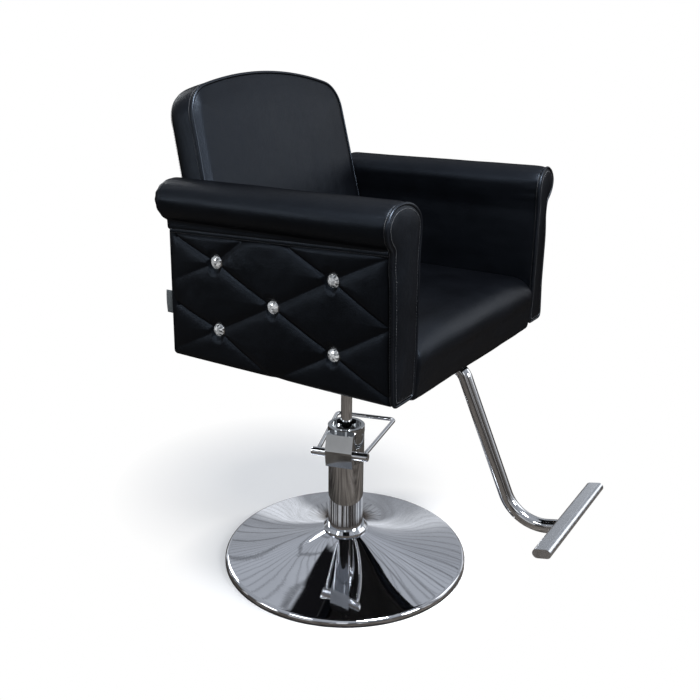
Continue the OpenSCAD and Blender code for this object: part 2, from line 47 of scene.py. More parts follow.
def make_camera():
    data = bpy.data.cameras.new("camera")
    data.sensor_width = 36.0
    data.lens = 42.892
    data.clip_start = 0.05
    data.clip_end = 60
    cam = bpy.data.objects.new("camera", data)
    bpy.context.scene.collection.objects.link(cam)
    c, t = Vector(CAM), Vector(AIM)
    f = (t - c).normalized()
    r = f.cross(Vector((0, 0, 1))).normalized()
    u = r.cross(f)
    a = math.radians(ROLL)
    r2 = r * math.cos(a) - u * math.sin(a)
    u2 = r * math.sin(a) + u * math.cos(a)
    m = Matrix((r2, u2, -f)).transposed().to_4x4()
    m.translation = c
    cam.matrix_world = m
    bpy.context.scene.camera = cam


make_camera()

# ------------------------------------------------------------------ node helpers


def new_mat(name):
    m = bpy.data.materials.new(name)
    m.use_nodes = True
    nt = m.node_tree
    b = next(n for n in nt.nodes if n.type == "BSDF_PRINCIPLED")
    return m, nt, b


def add(nt, kind, **kw):
    n = nt.nodes.new(kind)
    for k, v in kw.items():
        if k.startswith("in_"):
            key = k[3:]
            n.inputs[int(key) if key.isdigit() else key.replace("_", " ")].default_value = v
        else:
            setattr(n, k, v)
    return n


def math_node(nt, op, a, b=None, clamp=False):
    n = nt.nodes.new("ShaderNodeMath")
    n.operation = op
    n.use_clamp = clamp
    for i, v in enumerate((a, b)):
        if v is None:
            continue
        if isinstance(v, (int, float)):
            n.inputs[i].default_value = v
        else:
            nt.links.new(v, n.inputs[i])
    return n.outputs[0]


def coords(nt, scale=(1, 1, 1)):
    tc = nt.nodes.new("ShaderNodeTexCoord")
    mp = nt.nodes.new("ShaderNodeMapping")
    mp.inputs["Scale"].default_value = scale
    nt.links.new(tc.outputs["Object"], mp.inputs["Vector"])
    return mp.outputs["Vector"]


def noise_tex(nt, vec, scale, detail=3.0, rough=0.5):
    n = add(nt, "ShaderNodeTexNoise")
    n.inputs["Scale"].default_value = scale
    n.inputs["Detail"].default_value = detail
    n.inputs["Roughness"].default_value = rough
    nt.links.new(vec, n.inputs["Vector"])
    return n.outputs["Fac"]


def ramp(nt, fac, stops):
    r = nt.nodes.new("ShaderNodeValToRGB")
    el = r.color_ramp.elements
    while len(el) < len(stops):
        el.new(0.5)
    for e, (p, c) in zip(el, stops):
        e.position = p
        e.color = (*c, 1) if len(c) == 3 else c
    nt.links.new(fac, r.inputs["Fac"])
    return r.outputs["Color"]


def map_range(nt, val, a, b, c, d):
    n = nt.nodes.new("ShaderNodeMapRange")
    for i, v in enumerate((a, b, c, d)):
        n.inputs[i + 1].default_value = v
    nt.links.new(val, n.inputs[0])
    return n.outputs[0]


def bump(nt, height, strength, distance, normal=None):
    b = nt.nodes.new("ShaderNodeBump")
    b.inputs["Strength"].default_value = strength
    b.inputs["Distance"].default_value = distance
    nt.links.new(height, b.inputs["Height"])
    if normal is not None:
        nt.links.new(normal, b.inputs["Normal"])
    return b.outputs["Normal"]


# ------------------------------------------------------------------ materials


def vinyl_material(name, base=(0.0019, 0.0022, 0.0031), rough=0.39, grain=1.0, spec=0.27):
    """Black upholstery vinyl: pebble grain, finer pores, soft patches of gloss."""
    m, nt, b = new_mat(name)
    v = coords(nt)
    # colour: slow mottling, a little lighter and darker in soft patches
    slow = noise_tex(nt, v, 9.0, 3.0, 0.55)
    fine = noise_tex(nt, v, 260.0, 2.0, 0.6)
    vor = add(nt, "ShaderNodeTexVoronoi")
    vor.feature = "F1"
    vor.inputs["Scale"].default_value = 620.0
    nt.links.new(v, vor.inputs["Vector"])
    cell = vor.outputs["Distance"]
    dark = tuple(c * 0.78 for c in base)
    lite = tuple(c * 1.3 for c in base)
    col = ramp(nt, slow, [(0.3, dark), (0.7, lite)])
    nt.links.new(col, b.inputs["Base Color"])
    r = math_node(nt, "ADD", map_range(nt, slow, 0.3, 0.7, rough - 0.05, rough + 0.06),
                  map_range(nt, fine, 0.3, 0.7, -0.035, 0.035))
    nt.links.new(r, b.inputs["Roughness"])
    b.inputs["Specular IOR Level"].default_value = spec
    # the gloss is tinted blue to stand in for bluish light: a painted light colour on every vinyl highlight
    b.inputs["Specular Tint"].default_value = (0.64, 0.78, 1.0, 1)
    n1 = bump(nt, cell, 0.30 * grain, 0.0006)
    n2 = bump(nt, fine, 0.16 * grain, 0.0006, n1)
    mid = noise_tex(nt, v, 34.0, 3.0, 0.5)
    n3 = bump(nt, mid, 0.18, 0.0022, n2)
    nt.links.new(n3, b.inputs["Normal"])
    # seen at a glancing angle the grain shades itself and takes the gloss away
    flat = nt.nodes.new("ShaderNodeBsdfDiffuse")
    nt.links.new(col, flat.inputs[0])
    lw = nt.nodes.new("ShaderNodeLayerWeight")
    lw.inputs["Blend"].default_value = 0.5
    fac = map_range(nt, lw.outputs["Facing"], 0.42, 0.86, 0.0, 0.78)
    mix = nt.nodes.new("ShaderNodeMixShader")
    nt.links.new(fac, mix.inputs[0])
    nt.links.new(b.outputs[0], mix.inputs[1])
    nt.links.new(flat.outputs[0], mix.inputs[2])
    out = next(n for n in nt.nodes if n.type == "OUTPUT_MATERIAL")
    nt.links.new(mix.outputs[0], out.inputs[0])
    return m


def thread_material():
    m, nt, b = new_mat("thread")
    v = coords(nt, (1, 1, 1))
    f = noise_tex(nt, v, 1800.0, 1.0)
    col = ramp(nt, f, [(0.3, (0.024, 0.027, 0.034)), (0.7, (0.052, 0.058, 0.070))])
    nt.links.new(col, b.inputs["Base Color"])
    b.inputs["Roughness"].default_value = 0.62
    b.inputs["Sheen Weight"].default_value = 0.2
    nt.links.new(bump(nt, f, 0.5, 0.0003), b.inputs["Normal"])
    return m


def chrome_material(name, tint=(0.80, 0.81, 0.83), rough=0.035, wave=0.0, spin=0.0):
    """Polished chrome with faint buffing haze and, on the dish, faint spinning rings."""
    m, nt, b = new_mat(name)
    v = coords(nt)
    slow = noise_tex(nt, v, 14.0, 4.0, 0.6)
    col = ramp(nt, slow, [(0.2, tuple(c * 0.95 for c in tint)), (0.8, tint)])
    nt.links.new(col, b.inputs["Base Color"])
    b.inputs["Metallic"].default_value = 1.0
    smear = noise_tex(nt, coords(nt, (1, 1, 0.25)), 60.0, 5.0, 0.65)
    nt.links.new(map_range(nt, smear, 0.35, 0.75, rough * 0.7, rough * 1.9), b.inputs["Roughness"])
    nrm = None
    if wave:
        w = noise_tex(nt, v, 11.0, 1.0, 0.3)
        nrm = bump(nt, w, wave, 0.004)
    if spin:
        sep = add(nt, "ShaderNodeSeparateXYZ")
        nt.links.new(v, sep.inputs[0])
        x2 = math_node(nt, "MULTIPLY", sep.outputs[0], sep.outputs[0])
        y2 = math_node(nt, "MULTIPLY", sep.outputs[1], sep.outputs[1])
        rad = math_node(nt, "SQRT", math_node(nt, "ADD", x2, y2))
        comb = add(nt, "ShaderNodeCombineXYZ")
        nt.links.new(rad, comb.inputs[0])
        rings = noise_tex(nt, comb.outputs[0], 85.0, 4.0, 0.65)
        nrm = bump(nt, rings, spin, 0.0006, nrm)
    if nrm is not None:
        nt.links.new(nrm, b.inputs["Normal"])
    return m


def steel_material(name, base, rough, metallic=1.0, scale=180.0, amt=0.25):
    m, nt, b = new_mat(name)
    v = coords(nt, (1, 1, 4))
    f = noise_tex(nt, v, scale, 4.0, 0.6)
    col = ramp(nt, f, [(0.25, tuple(c * 0.82 for c in base)), (0.75, tuple(min(1, c * 1.12) for c in base))])
    nt.links.new(col, b.inputs["Base Color"])
    b.inputs["Metallic"].default_value = metallic
    nt.links.new(map_range(nt, f, 0.3, 0.7, rough - 0.05, rough + 0.07), b.inputs["Roughness"])
    nt.links.new(bump(nt, f, amt, 0.0005), b.inputs["Normal"])
    return m


def paint_material(name, base, rough=0.45):
    m, nt, b = new_mat(name)
    v = coords(nt)
    f = noise_tex(nt, v, 420.0, 2.0, 0.5)
    s = noise_tex(nt, v, 12.0, 4.0, 0.6)
    col = ramp(nt, s, [(0.3, tuple(c * 0.8 for c in base)), (0.7, tuple(c * 1.25 for c in base))])
    nt.links.new(col, b.inputs["Base Color"])
    nt.links.new(map_range(nt, s, 0.3, 0.7, rough - 0.06, rough + 0.08), b.inputs["Roughness"])
    nt.links.new(bump(nt, f, 0.25, 0.0006), b.inputs["Normal"])
    return m


def rubber_material(name, base=(0.016, 0.016, 0.017)):
    m, nt, b = new_mat(name)
    v = coords(nt)
    f = noise_tex(nt, v, 300.0, 3.0, 0.6)
    col = ramp(nt, f, [(0.3, tuple(c * 0.8 for c in base)), (0.75, tuple(c * 1.4 for c in base))])
    nt.links.new(col, b.inputs["Base Color"])
    nt.links.new(map_range(nt, f, 0.3, 0.7, 0.62, 0.78), b.inputs["Roughness"])
    nt.links.new(bump(nt, f, 0.3, 0.0005), b.inputs["Normal"])
    return m


def wood_material():
    m, nt, b = new_mat("plywood")
    v = coords(nt, (1, 9, 9))
    f = noise_tex(nt, v, 16.0, 5.0, 0.6)
    col = ramp(nt, f, [(0.25, (0.30, 0.20, 0.11)), (0.55, (0.47, 0.34, 0.21)), (0.8, (0.58, 0.44, 0.28))])
    nt.links.new(col, b.inputs["Base Color"])
    b.inputs["Roughness"].default_value = 0.7
    nt.links.new(bump(nt, f, 0.3, 0.001), b.inputs["Normal"])
    return m


def cloth_material(name, base, weave=900.0, rough=0.85, contrast=1.6):
    """Plain weave: two crossed sets of threads."""
    m, nt, b = new_mat(name)
    v = coords(nt)
    sep = add(nt, "ShaderNodeSeparateXYZ")
    nt.links.new(v, sep.inputs[0])
    hs = []
    for axis in (0, 1):
        s = math_node(nt, "SINE", math_node(nt, "MULTIPLY", sep.outputs[axis], weave * math.tau / 2))
        hs.append(s)
    zz = math_node(nt, "SINE", math_node(nt, "MULTIPLY", sep.outputs[2], weave * math.tau / 2))
    h = math_node(nt, "ADD", math_node(nt, "MULTIPLY", hs[0], hs[1]), math_node(nt, "MULTIPLY", zz, 0.7))
    s = noise_tex(nt, v, 40.0, 3.0)
    col = ramp(nt, s, [(0.3, tuple(c * 0.8 for c in base)), (0.7, tuple(min(1, c * contrast) for c in base))])
    nt.links.new(col, b.inputs["Base Color"])
    b.inputs["Roughness"].default_value = rough
    b.inputs["Sheen Weight"].default_value = 0.15
    nt.links.new(bump(nt, h, 0.35, 0.0004), b.inputs["Normal"])
    return m


def crystal_painted_glint_material():
    """Foil-backed cut glass: every facet gets its own painted tone, light or dark, standing in for the light the foil
    behind throws back, and that colour also glows faintly.
    """
    m, nt, b = new_mat("crystal")
    geo = nt.nodes.new("ShaderNodeNewGeometry")
    sc = nt.nodes.new("ShaderNodeVectorMath")
    sc.operation = "SCALE"
    sc.inputs["Scale"].default_value = 11.3
    nt.links.new(geo.outputs["True Normal"], sc.inputs[0])
    w = nt.nodes.new("ShaderNodeTexNoise")
    w.inputs["Scale"].default_value = 1.7
    w.inputs["Detail"].default_value = 0.0
    nt.links.new(sc.outputs[0], w.inputs["Vector"])
    # each facet's tone comes from a noise of its own normal: painted glints and painted shade on the facets
    col = ramp(nt, w.outputs["Fac"], [(0.30, (0.04, 0.045, 0.05)), (0.38, (0.50, 0.52, 0.54)), (0.44, (0.95, 0.97, 0.98)),
                                      (0.50, (0.30, 0.31, 0.32)), (0.56, (0.90, 0.92, 0.94)), (0.64, (0.16, 0.17, 0.18)),
                                      (0.72, (0.98, 0.99, 1.0))])
    nt.links.new(col, b.inputs["Base Color"])
    # the same tone is emitted as well: a painted glow, the stones are no lamp
    nt.links.new(col, b.inputs["Emission Color"])
    b.inputs["Emission Strength"].default_value = 0.31
    b.inputs["Metallic"].default_value = 0.35
    b.inputs["Roughness"].default_value = 0.06
    b.inputs["Coat Weight"].default_value = 1.0
    b.inputs["Coat Roughness"].default_value = 0.02
    b.inputs["Coat IOR"].default_value = 1.7
    return m


def floor_material():
    m = bpy.data.materials.new("floor")
    m.use_nodes = True
    nt = m.node_tree
    for n in list(nt.nodes):
        nt.nodes.remove(n)
    v = coords(nt)
    sep = add(nt, "ShaderNodeSeparateXYZ")
    nt.links.new(v, sep.inputs[0])
    # the shadow is kept to an oval behind the base and a rim close round it
    xo = math_node(nt, "SUBTRACT", sep.outputs[0], 0.214)
    yo = math_node(nt, "SUBTRACT", sep.outputs[1], 0.336)
    ea = math_node(nt, "DIVIDE", math_node(nt, "SUBTRACT", math_node(nt, "MULTIPLY", xo, 0.54), math_node(nt, "MULTIPLY", yo, 0.84)), 0.36)
    eb = math_node(nt, "DIVIDE", math_node(nt, "ADD", math_node(nt, "MULTIPLY", xo, 0.84), math_node(nt, "MULTIPLY", yo, 0.54)), 0.36)
    oval = math_node(nt, "SQRT", math_node(nt, "ADD", math_node(nt, "MULTIPLY", ea, ea), math_node(nt, "MULTIPLY", eb, eb)))
    x2 = math_node(nt, "MULTIPLY", sep.outputs[0], sep.outputs[0])
    y2 = math_node(nt, "MULTIPLY", sep.outputs[1], sep.outputs[1])
    rad = math_node(nt, "SQRT", math_node(nt, "ADD", x2, y2))
    far = math_node(nt, "MINIMUM", map_range(nt, oval, 0.35, 1.30, 0.0, 1.0), map_range(nt, rad, 0.285, 0.42, 0.0, 1.0))
    f = noise_tex(nt, v, 3.0, 3.0)
    pale = nt.nodes.new("ShaderNodeBsdfDiffuse")
    nt.links.new(ramp(nt, f, [(0.3, (0.80, 0.80, 0.805)), (0.7, (0.82, 0.82, 0.825))]), pale.inputs[0])
    lift = nt.nodes.new("ShaderNodeEmission")
    lift.inputs[0].default_value = (1, 1, 1, 1)
    lift.inputs[1].default_value = 0.20
    both = nt.nodes.new("ShaderNodeAddShader")
    nt.links.new(pale.outputs[0], both.inputs[0])
    nt.links.new(lift.outputs[0], both.inputs[1])
    white = nt.nodes.new("ShaderNodeEmission")
    white.inputs[0].default_value = (1, 1, 1, 1)
    white.inputs[1].default_value = 1.0
    fade = nt.nodes.new("ShaderNodeMixShader")
    nt.links.new(far, fade.inputs[0])
    nt.links.new(both.outputs[0], fade.inputs[1])
    nt.links.new(white.outputs[0], fade.inputs[2])
    room = nt.nodes.new("ShaderNodeBsdfDiffuse")
    plank = noise_tex(nt, coords(nt, (1.0, 5.0, 1)), 3.0, 4.0, 0.6)
    nt.links.new(ramp(nt, plank, [(0.32, (0.035, 0.030, 0.027)), (0.5, (0.085, 0.075, 0.066)), (0.68, (0.15, 0.135, 0.122))]), room.inputs[0])
    lp = nt.nodes.new("ShaderNodeLightPath")
    mix = nt.nodes.new("ShaderNodeMixShader")
    nt.links.new(lp.outputs["Is Camera Ray"], mix.inputs[0])
    nt.links.new(room.outputs[0], mix.inputs[1])
    nt.links.new(fade.outputs[0], mix.inputs[2])
    out = nt.nodes.new("ShaderNodeOutputMaterial")
    nt.links.new(mix.outputs[0], out.inputs[0])
    return m


VINYL = vinyl_material("vinyl_black")
# the quilted sides take a darker, less glossy copy of the same vinyl: painted shade
VINYL_QUILT_SHADED = vinyl_material("vinyl_quilt_shaded", base=(0.0017, 0.0019, 0.0026), rough=0.41, spec=0.25)
# the piping takes a lighter, glossier copy of the same vinyl: painted highlight
VINYL_PIPING_LIT = vinyl_material("vinyl_piping_lit", base=(0.0030, 0.0034, 0.0046), rough=0.30, grain=0.4, spec=0.5)
THREAD = thread_material()
CHROME = chrome_material("chrome")
CHROME_DISH = chrome_material("chrome_dish", tint=(0.82, 0.83, 0.86), rough=0.028, wave=0.07, spin=0.05)
CHROME_TUBE = chrome_material("chrome_tube", rough=0.05)
# the pump head takes a darker copy of the chrome: painted shade
CHROME_HEAD_SHADED = chrome_material("chrome_head_shaded", tint=(0.50, 0.51, 0.52), rough=0.06, wave=0.16)
CHROME_BAR = chrome_material("chrome_bar", tint=(0.84, 0.86, 0.89), rough=0.20)
STEEL = steel_material("steel_ground", (0.56, 0.56, 0.57), 0.28)
ZINC = steel_material("zinc_plate", (0.60, 0.61, 0.62), 0.36, scale=90.0)
DARK = paint_material("steel_black", (0.02, 0.02, 0.021))
POWDER = paint_material("powder_black", (0.014, 0.014, 0.015), 0.5)
RUBBER = rubber_material("rubber_black")
PLASTIC = rubber_material("plastic_black", (0.02, 0.02, 0.021))
WOOD = wood_material()
CAMBRIC = cloth_material("cambric_black", (0.012, 0.012, 0.013))
TAB = cloth_material("tab_grey", (0.115, 0.130, 0.138), weave=1400.0, rough=0.6, contrast=1.3)
CRYSTAL_PAINTED_GLINTS = crystal_painted_glint_material()

NODE_MATS = {
    "base_dish": CHROME_DISH, "ballast_plate": DARK, "rim_gasket": RUBBER, "base_collar": CHROME,
    "pump_foot": DARK, "pump_foot_bolts": ZINC, "pump_tube": CHROME, "inner_cylinder": STEEL,
    "plunger_barrel": STEEL, "pump_head": CHROME_HEAD_SHADED, "rod_seal": RUBBER, "piston_rod": CHROME,
    "piston": STEEL, "piston_seal": RUBBER, "lever_shaft": CHROME, "lever_cam": DARK,
    "pump_plunger": STEEL, "swivel_hub": POWDER, "mount_plate": POWDER, "mount_bolts": ZINC,
    "seat_frame": WOOD, "seat_board": WOOD, "dust_cover": CAMBRIC, "arm_frame_right": WOOD,
    "arm_frame_left": WOOD, "arm_bolts": ZINC, "crystal_cups_right": CHROME, "crystal_cups_left": CHROME,
    "crystals_right": CRYSTAL_PAINTED_GLINTS, "crystals_left": CRYSTAL_PAINTED_GLINTS, "back_board": WOOD,
    "back_brackets": POWDER, "back_bolts": ZINC, "footrest_plate": POWDER, "footrest_bolts": ZINC,
    "footrest_plugs": PLASTIC, "footrest_bar": CHROME_BAR, "footrest_caps": CHROME_BAR,
}
for node, mat in NODE_MATS.items():
    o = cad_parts[node]
    if not o.material_slots:
        o.data.materials.append(mat)
    for s in o.material_slots:
        s.material = mat

# ------------------------------------------------------------------ mesh helpers


def mesh_obj(name, verts, faces, mat, smooth=True, sharp=None):
    me = bpy.data.meshes.new(name)
    me.from_pydata([tuple(v) for v in np.asarray(verts, float)], [], [tuple(int(i) for i in f) for f in faces])
    me.validate()
    me.update()
    if smooth:
        me.polygons.foreach_set("use_smooth", [True] * len(me.polygons))
    me.materials.append(mat)
    o = bpy.data.objects.new(name, me)
    bpy.context.scene.collection.objects.link(o)
    return o


class Build:
    """Gathers vertices and faces of one piece."""

    def __init__(self):
        self.v = []
        self.f = []
        self.n = 0

    def add(self, verts, faces):
        verts = np.asarray(verts, float).reshape(-1, 3)
        base = self.n
        self.v.append(verts)
        self.f.extend(tuple(base + int(i) for i in f) for f in faces)
        self.n += len(verts)
        return base

    def grid(self, p, wrap_u=False, wrap_v=False, flip=False):
        nu, nv = p.shape[:2]
        f = []
        for i in range(nu if wrap_u else nu - 1):
            i2 = (i + 1) % nu
            for j in range(nv if wrap_v else nv - 1):
                j2 = (j + 1) % nv
                q = (i * nv + j, i * nv + j2, i2 * nv + j2, i2 * nv + j)
                f.append(q[::-1] if flip else q)
        return self.add(p.reshape(-1, 3), f)

    def obj(self, name, mat, smooth=True):
        return mesh_obj(name, np.concatenate(self.v), self.f, mat, smooth)


def recalc(o, smooth=True):
    bm = bmesh.new()
    bm.from_mesh(o.data)
    bmesh.ops.remove_doubles(bm, verts=bm.verts, dist=1e-6)
    bmesh.ops.recalc_face_normals(bm, faces=bm.faces)
    for f in bm.faces:
        f.smooth = smooth
    bm.to_mesh(o.data)
    bm.free()
    return o


def resample(p, step, closed=False):
    """Even spacing along a polyline."""
    p = np.asarray(p, float)
    if closed:
        p = np.vstack([p, p[:1]])
    d = np.r_[0, np.cumsum(np.linalg.norm(np.diff(p, axis=0), axis=1))]
    keep = np.r_[True, np.diff(d) > 1e-9]
    p, d = p[keep], d[keep]
    n = max(4, int(round(d[-1] / step)))
    t = np.linspace(0, d[-1], n + 1)
    q = np.stack([np.interp(t, d, p[:, k]) for k in range(p.shape[1])], 1)
    return q[:-1] if closed else q


def relax(p, times=2, closed=True):
    p = np.asarray(p, float).copy()
    for _ in range(times):
        if closed:
            p = 0.5 * p + 0.25 * (np.roll(p, 1, 0) + np.roll(p, -1, 0))
        else:
            q = p.copy()
            q[1:-1] = 0.5 * p[1:-1] + 0.25 * (p[:-2] + p[2:])
            p = q
    return p


def poly_dist(pts, line, closed=True):
    """Distance from each point to a polyline, in the plane."""
    a = np.asarray(line, float)
    b = np.roll(a, -1, 0) if closed else a[1:]
    if not closed:
        a = a[:-1]
    out = np.full(len(pts), 1e9)
    for s in range(0, len(pts), 4000):
        q = pts[s:s + 4000, None, :]
        ab = (b - a)[None]
        t = np.clip(((q - a[None]) * ab).sum(-1) / np.maximum((ab ** 2).sum(-1), 1e-12), 0, 1)
        d = np.linalg.norm(q - (a[None] + t[..., None] * ab), axis=-1)
        out[s:s + 4000] = d.min(1)
    return out


def fbm(p, scale, seed=0.0, octaves=2):
    """Soft noise at each 3-D point, about -1 to 1."""
    out = np.empty(len(p))
    o = Vector((seed * 13.7, seed * 7.1, seed * 3.3))
    for i, q in enumerate(p):
        v = Vector(q) * scale + o
        s = noise.noise(v)
        if octaves > 1:
            s += 0.5 * noise.noise(v * 2.1)
        out[i] = s
    return out


def sweep(build, path, r, closed=False, k=10, up=None, squash=1.0):
    """Round cord along a 3-D polyline."""
    p = np.asarray(path, float)
    n = len(p)
    if closed:
        t = np.roll(p, -1, 0) - np.roll(p, 1, 0)
    else:
        t = np.gradient(p, axis=0)
    t /= np.linalg.norm(t, axis=1)[:, None]
    u = np.zeros_like(p)
    ref = np.array(up if up is not None else (0, 0, 1.0), float)
    u0 = ref - t[0] * (ref @ t[0])
    if np.linalg.norm(u0) < 1e-4:
        ref = np.array((1.0, 0, 0))
        u0 = ref - t[0] * (ref @ t[0])
    u0 /= np.linalg.norm(u0)
    u[0] = u0
    for i in range(1, n):
        w = u[i - 1] - t[i] * (u[i - 1] @ t[i])
        u[i] = w / np.linalg.norm(w)
    v = np.cross(t, u)
    a = np.arange(k) * math.tau / k
    g = p[:, None] + r * (np.cos(a)[None, :, None] * u[:, None] + squash * np.sin(a)[None, :, None] * v[:, None])
    build.grid(g, wrap_u=closed, wrap_v=True)
    if not closed:
        for end, s in ((0, 1), (n - 1, -1)):
            base = build.add(np.vstack([g[end], p[end][None] - t[end] * s * r * 0.3]), [])
            f = [(base + j, base + (j + 1) % k, base + k) for j in range(k)]
            build.f.extend(f if s < 0 else [q[::-1] for q in f])


def stitches(build, path, normals, pitch=0.0052, length=0.0036, r=0.00042, lift=0.0001, closed=False):
    """Thread stitches along a path, each a small rounded bar sunk at its ends."""
    path = np.asarray(path, float)
    normals = np.asarray(normals, float)
    both = resample(np.hstack([path, normals]), pitch, closed)
    p, nn = both[:, :3], both[:, 3:]
    nn /= np.linalg.norm(nn, axis=1)[:, None]
    t = (np.roll(p, -1, 0) - np.roll(p, 1, 0)) if closed else np.gradient(p, axis=0)
    t /= np.linalg.norm(t, axis=1)[:, None]
    side = np.cross(t, nn)
    k = 6
    a = np.arange(k) * math.tau / k
    prof = [(-0.5, 0.35, -0.7), (-0.32, 0.9, 0.25), (0.0, 1.0, 0.6), (0.32, 0.9, 0.25), (0.5, 0.35, -0.7)]
    for i in range(len(p)):
        rings = []
        for f, rr, h in prof:
            c = p[i] + t[i] * f * length + nn[i] * (lift + h * r)
            rings.append(c + r * rr * (np.cos(a)[:, None] * nn[i] * 0.8 + np.sin(a)[:, None] * side[i]))
        base = build.grid(np.array(rings), wrap_v=True)
        m = len(prof)
        build.f.append(tuple(base + j for j in range(k))[::-1])
        build.f.append(tuple(base + (m - 1) * k + j for j in range(k)))


def pillow(build, outline, spine, to3d, height, band, back, fracs=None, back_pull=None, wobble=None):
    """Closed pad: a crowned face inside an outline, a side band, and a flat back.
    outline and spine are matching lists of 2-D points, to3d(p2, n) places them, height(d, p2) is the
    face's rise at distance d from the outline, band gives (n, outset) rings from the face to the back."""
    outline = np.asarray(outline, float)
    spine = np.asarray(spine, float)
    if fracs is None:
        e = np.array([0, .008, .018, .03, .045, .062, .082, .105, .13, .16])
        fracs = np.r_[e, np.linspace(.2, 1.0, 22)]
    rings = []
    for f in fracs:
        q = outline * (1 - f) + spine * f
        d = poly_dist(q, outline)
        h = height(d, q)
        rings.append(to3d(q, h))
    face = np.array(rings)
    # outward direction in the plane, for the band
    t = np.roll(outline, -1, 0) - np.roll(outline, 1, 0)
    t /= np.linalg.norm(t, axis=1)[:, None]
    out = np.stack([t[:, 1], -t[:, 0]], 1)
    c = outline.mean(0)
    if ((outline - c) * out).sum() < 0:
        out = -out
    side = [to3d(outline + out * o, np.full(len(outline), n)) for n, o in band]
    g = np.concatenate([face[::-1], np.array(side)])
    build.grid(g, wrap_v=True)
    # back
    last_n, last_o = band[-1]
    backs = []
    for f in (0.0, 0.1, 0.3, 0.6, 1.0):
        q = (outline + out * last_o) * (1 - f) + spine * f
        backs.append(to3d(q, np.full(len(q), last_n) + back(f)))
    build.grid(np.array(backs), wrap_v=True)
    return face, out


# ------------------------------------------------------------------ shapes shared by both arms
ARM_IN, ARM_OUT = 0.2640, 0.3315
ARM_BOT = 0.5556
FRONT = -0.2985          # seam between the facing's band and the arm
REAR = 0.184
GEMS = np.array([[0.070, 0.7505], [-0.186, 0.7535], [-0.058, 0.687], [0.070, 0.623], [-0.1865, 0.624]])


def lean(z, x=0.2975):
    """The arm's front: leans back towards the top, the outer edge set back from the inner one."""
    z = np.asarray(z, float)
    k = np.clip((np.asarray(x, float) - 0.2975) / 0.034, -1, 0.9)
    up = np.clip((z - ARM_BOT) / 0.30, 0, 1.05)
    zz = np.clip((z - ARM_BOT) / 0.08, 0, 1)
    return 0.0022 * up + 0.0034 * k * zz + 0.0034 * np.exp(-((z - 0.792) / 0.035) ** 2) * np.clip(k, 0, 1)


def bezier(p0, p1, p2, p3, n):
    t = np.linspace(0, 1, n)[:, None]
    p0, p1, p2, p3 = (np.asarray(p, float) for p in (p0, p1, p2, p3))
    return (1 - t) ** 3 * p0 + 3 * (1 - t) ** 2 * t * p1 + 3 * (1 - t) * t * t * p2 + t ** 3 * p3


def neck_z(y):
    """Height of the seam under the scroll."""
    f = np.clip((0.184 - np.asarray(y, float)) / (0.184 - FRONT), 0, 1)
    return 0.8015 + 0.0135 * f


NECK_X = 0.3335


def scroll_outline(f, n=64):
    """Scroll from the inner face, over the top, to the outer neck; f is 1 at the front, 0 at the rear."""
    cx, cz = 0.3078, 0.8550
    a, b = 0.0483, 0.0365
    pts = [(cx + a * math.cos(th), cz + b * math.sin(th)) for th in np.radians(np.linspace(180, 0, n))]
    nz = 0.8015 + 0.0135 * f
    # the roll turns under, then a short hollow neck runs down to the seam
    th1 = math.acos((NECK_X + 0.0012 - cx) / a)
    b2 = min(0.0445, (cz - nz - 0.0030) / math.sin(th1))
    low = [(cx + a * math.cos(t), cz - b2 * math.sin(t)) for t in np.linspace(0, th1, 24)]
    zr = low[-1][1]
    low += [(NECK_X + 0.0004, zr + (nz - zr) * t) for t in (0.35, 0.6, 0.8)] + [(NECK_X, nz)]
    return np.array(pts + low[1:])


def facing_outline():
    """Keyhole outline of the front facing, in (x, z)."""
    arch = scroll_outline(0.6)
    top = np.clip((arch[:, 1] - 0.845) / 0.03, 0, 1)
    arch = np.stack([0.3078 + (arch[:, 0] - 0.3078) * 0.975, arch[:, 1] - 0.0042 * top], 1)
    inner = [(ARM_IN, z) for z in np.linspace(0.566, 0.79, 30)]
    blend = [(0.2638, 0.800), (0.2630, 0.812), (0.2616, 0.826), (0.2602, 0.840)]
    neck = [(0.3325, 0.7930), (0.3320, 0.7800)]
    outer = [(0.3318 - 0.0020 * k, z) for k, z in zip(np.linspace(0, 1, 28), np.linspace(0.768, 0.566, 28))]
    corner_r = 0.009
    bo = [(0.3298 - corner_r + corner_r * math.cos(a), ARM_BOT + corner_r + corner_r * math.sin(a))
          for a in np.radians(np.linspace(0, -90, 7))]
    bi = [(ARM_IN + corner_r + corner_r * math.cos(a), ARM_BOT + corner_r + corner_r * math.sin(a))
          for a in np.radians(np.linspace(-90, -180, 7))]
    p = np.array(inner + blend + list(arch[1:]) + neck + outer + bo + bi)
    p = resample(p, 0.003, closed=True)
    return relax(p, 3)


def facing_spine(p):
    z = np.clip(p[:, 1], 0.590, 0.855)
    x = 0.2975 + (z - 0.590) / (0.855 - 0.590) * 0.0105
    return np.stack([x, z], 1)


GROOVES = []  # (a, b, kind, depth at a, depth at b): kind 1 is the crisp fold, 2 the soft one


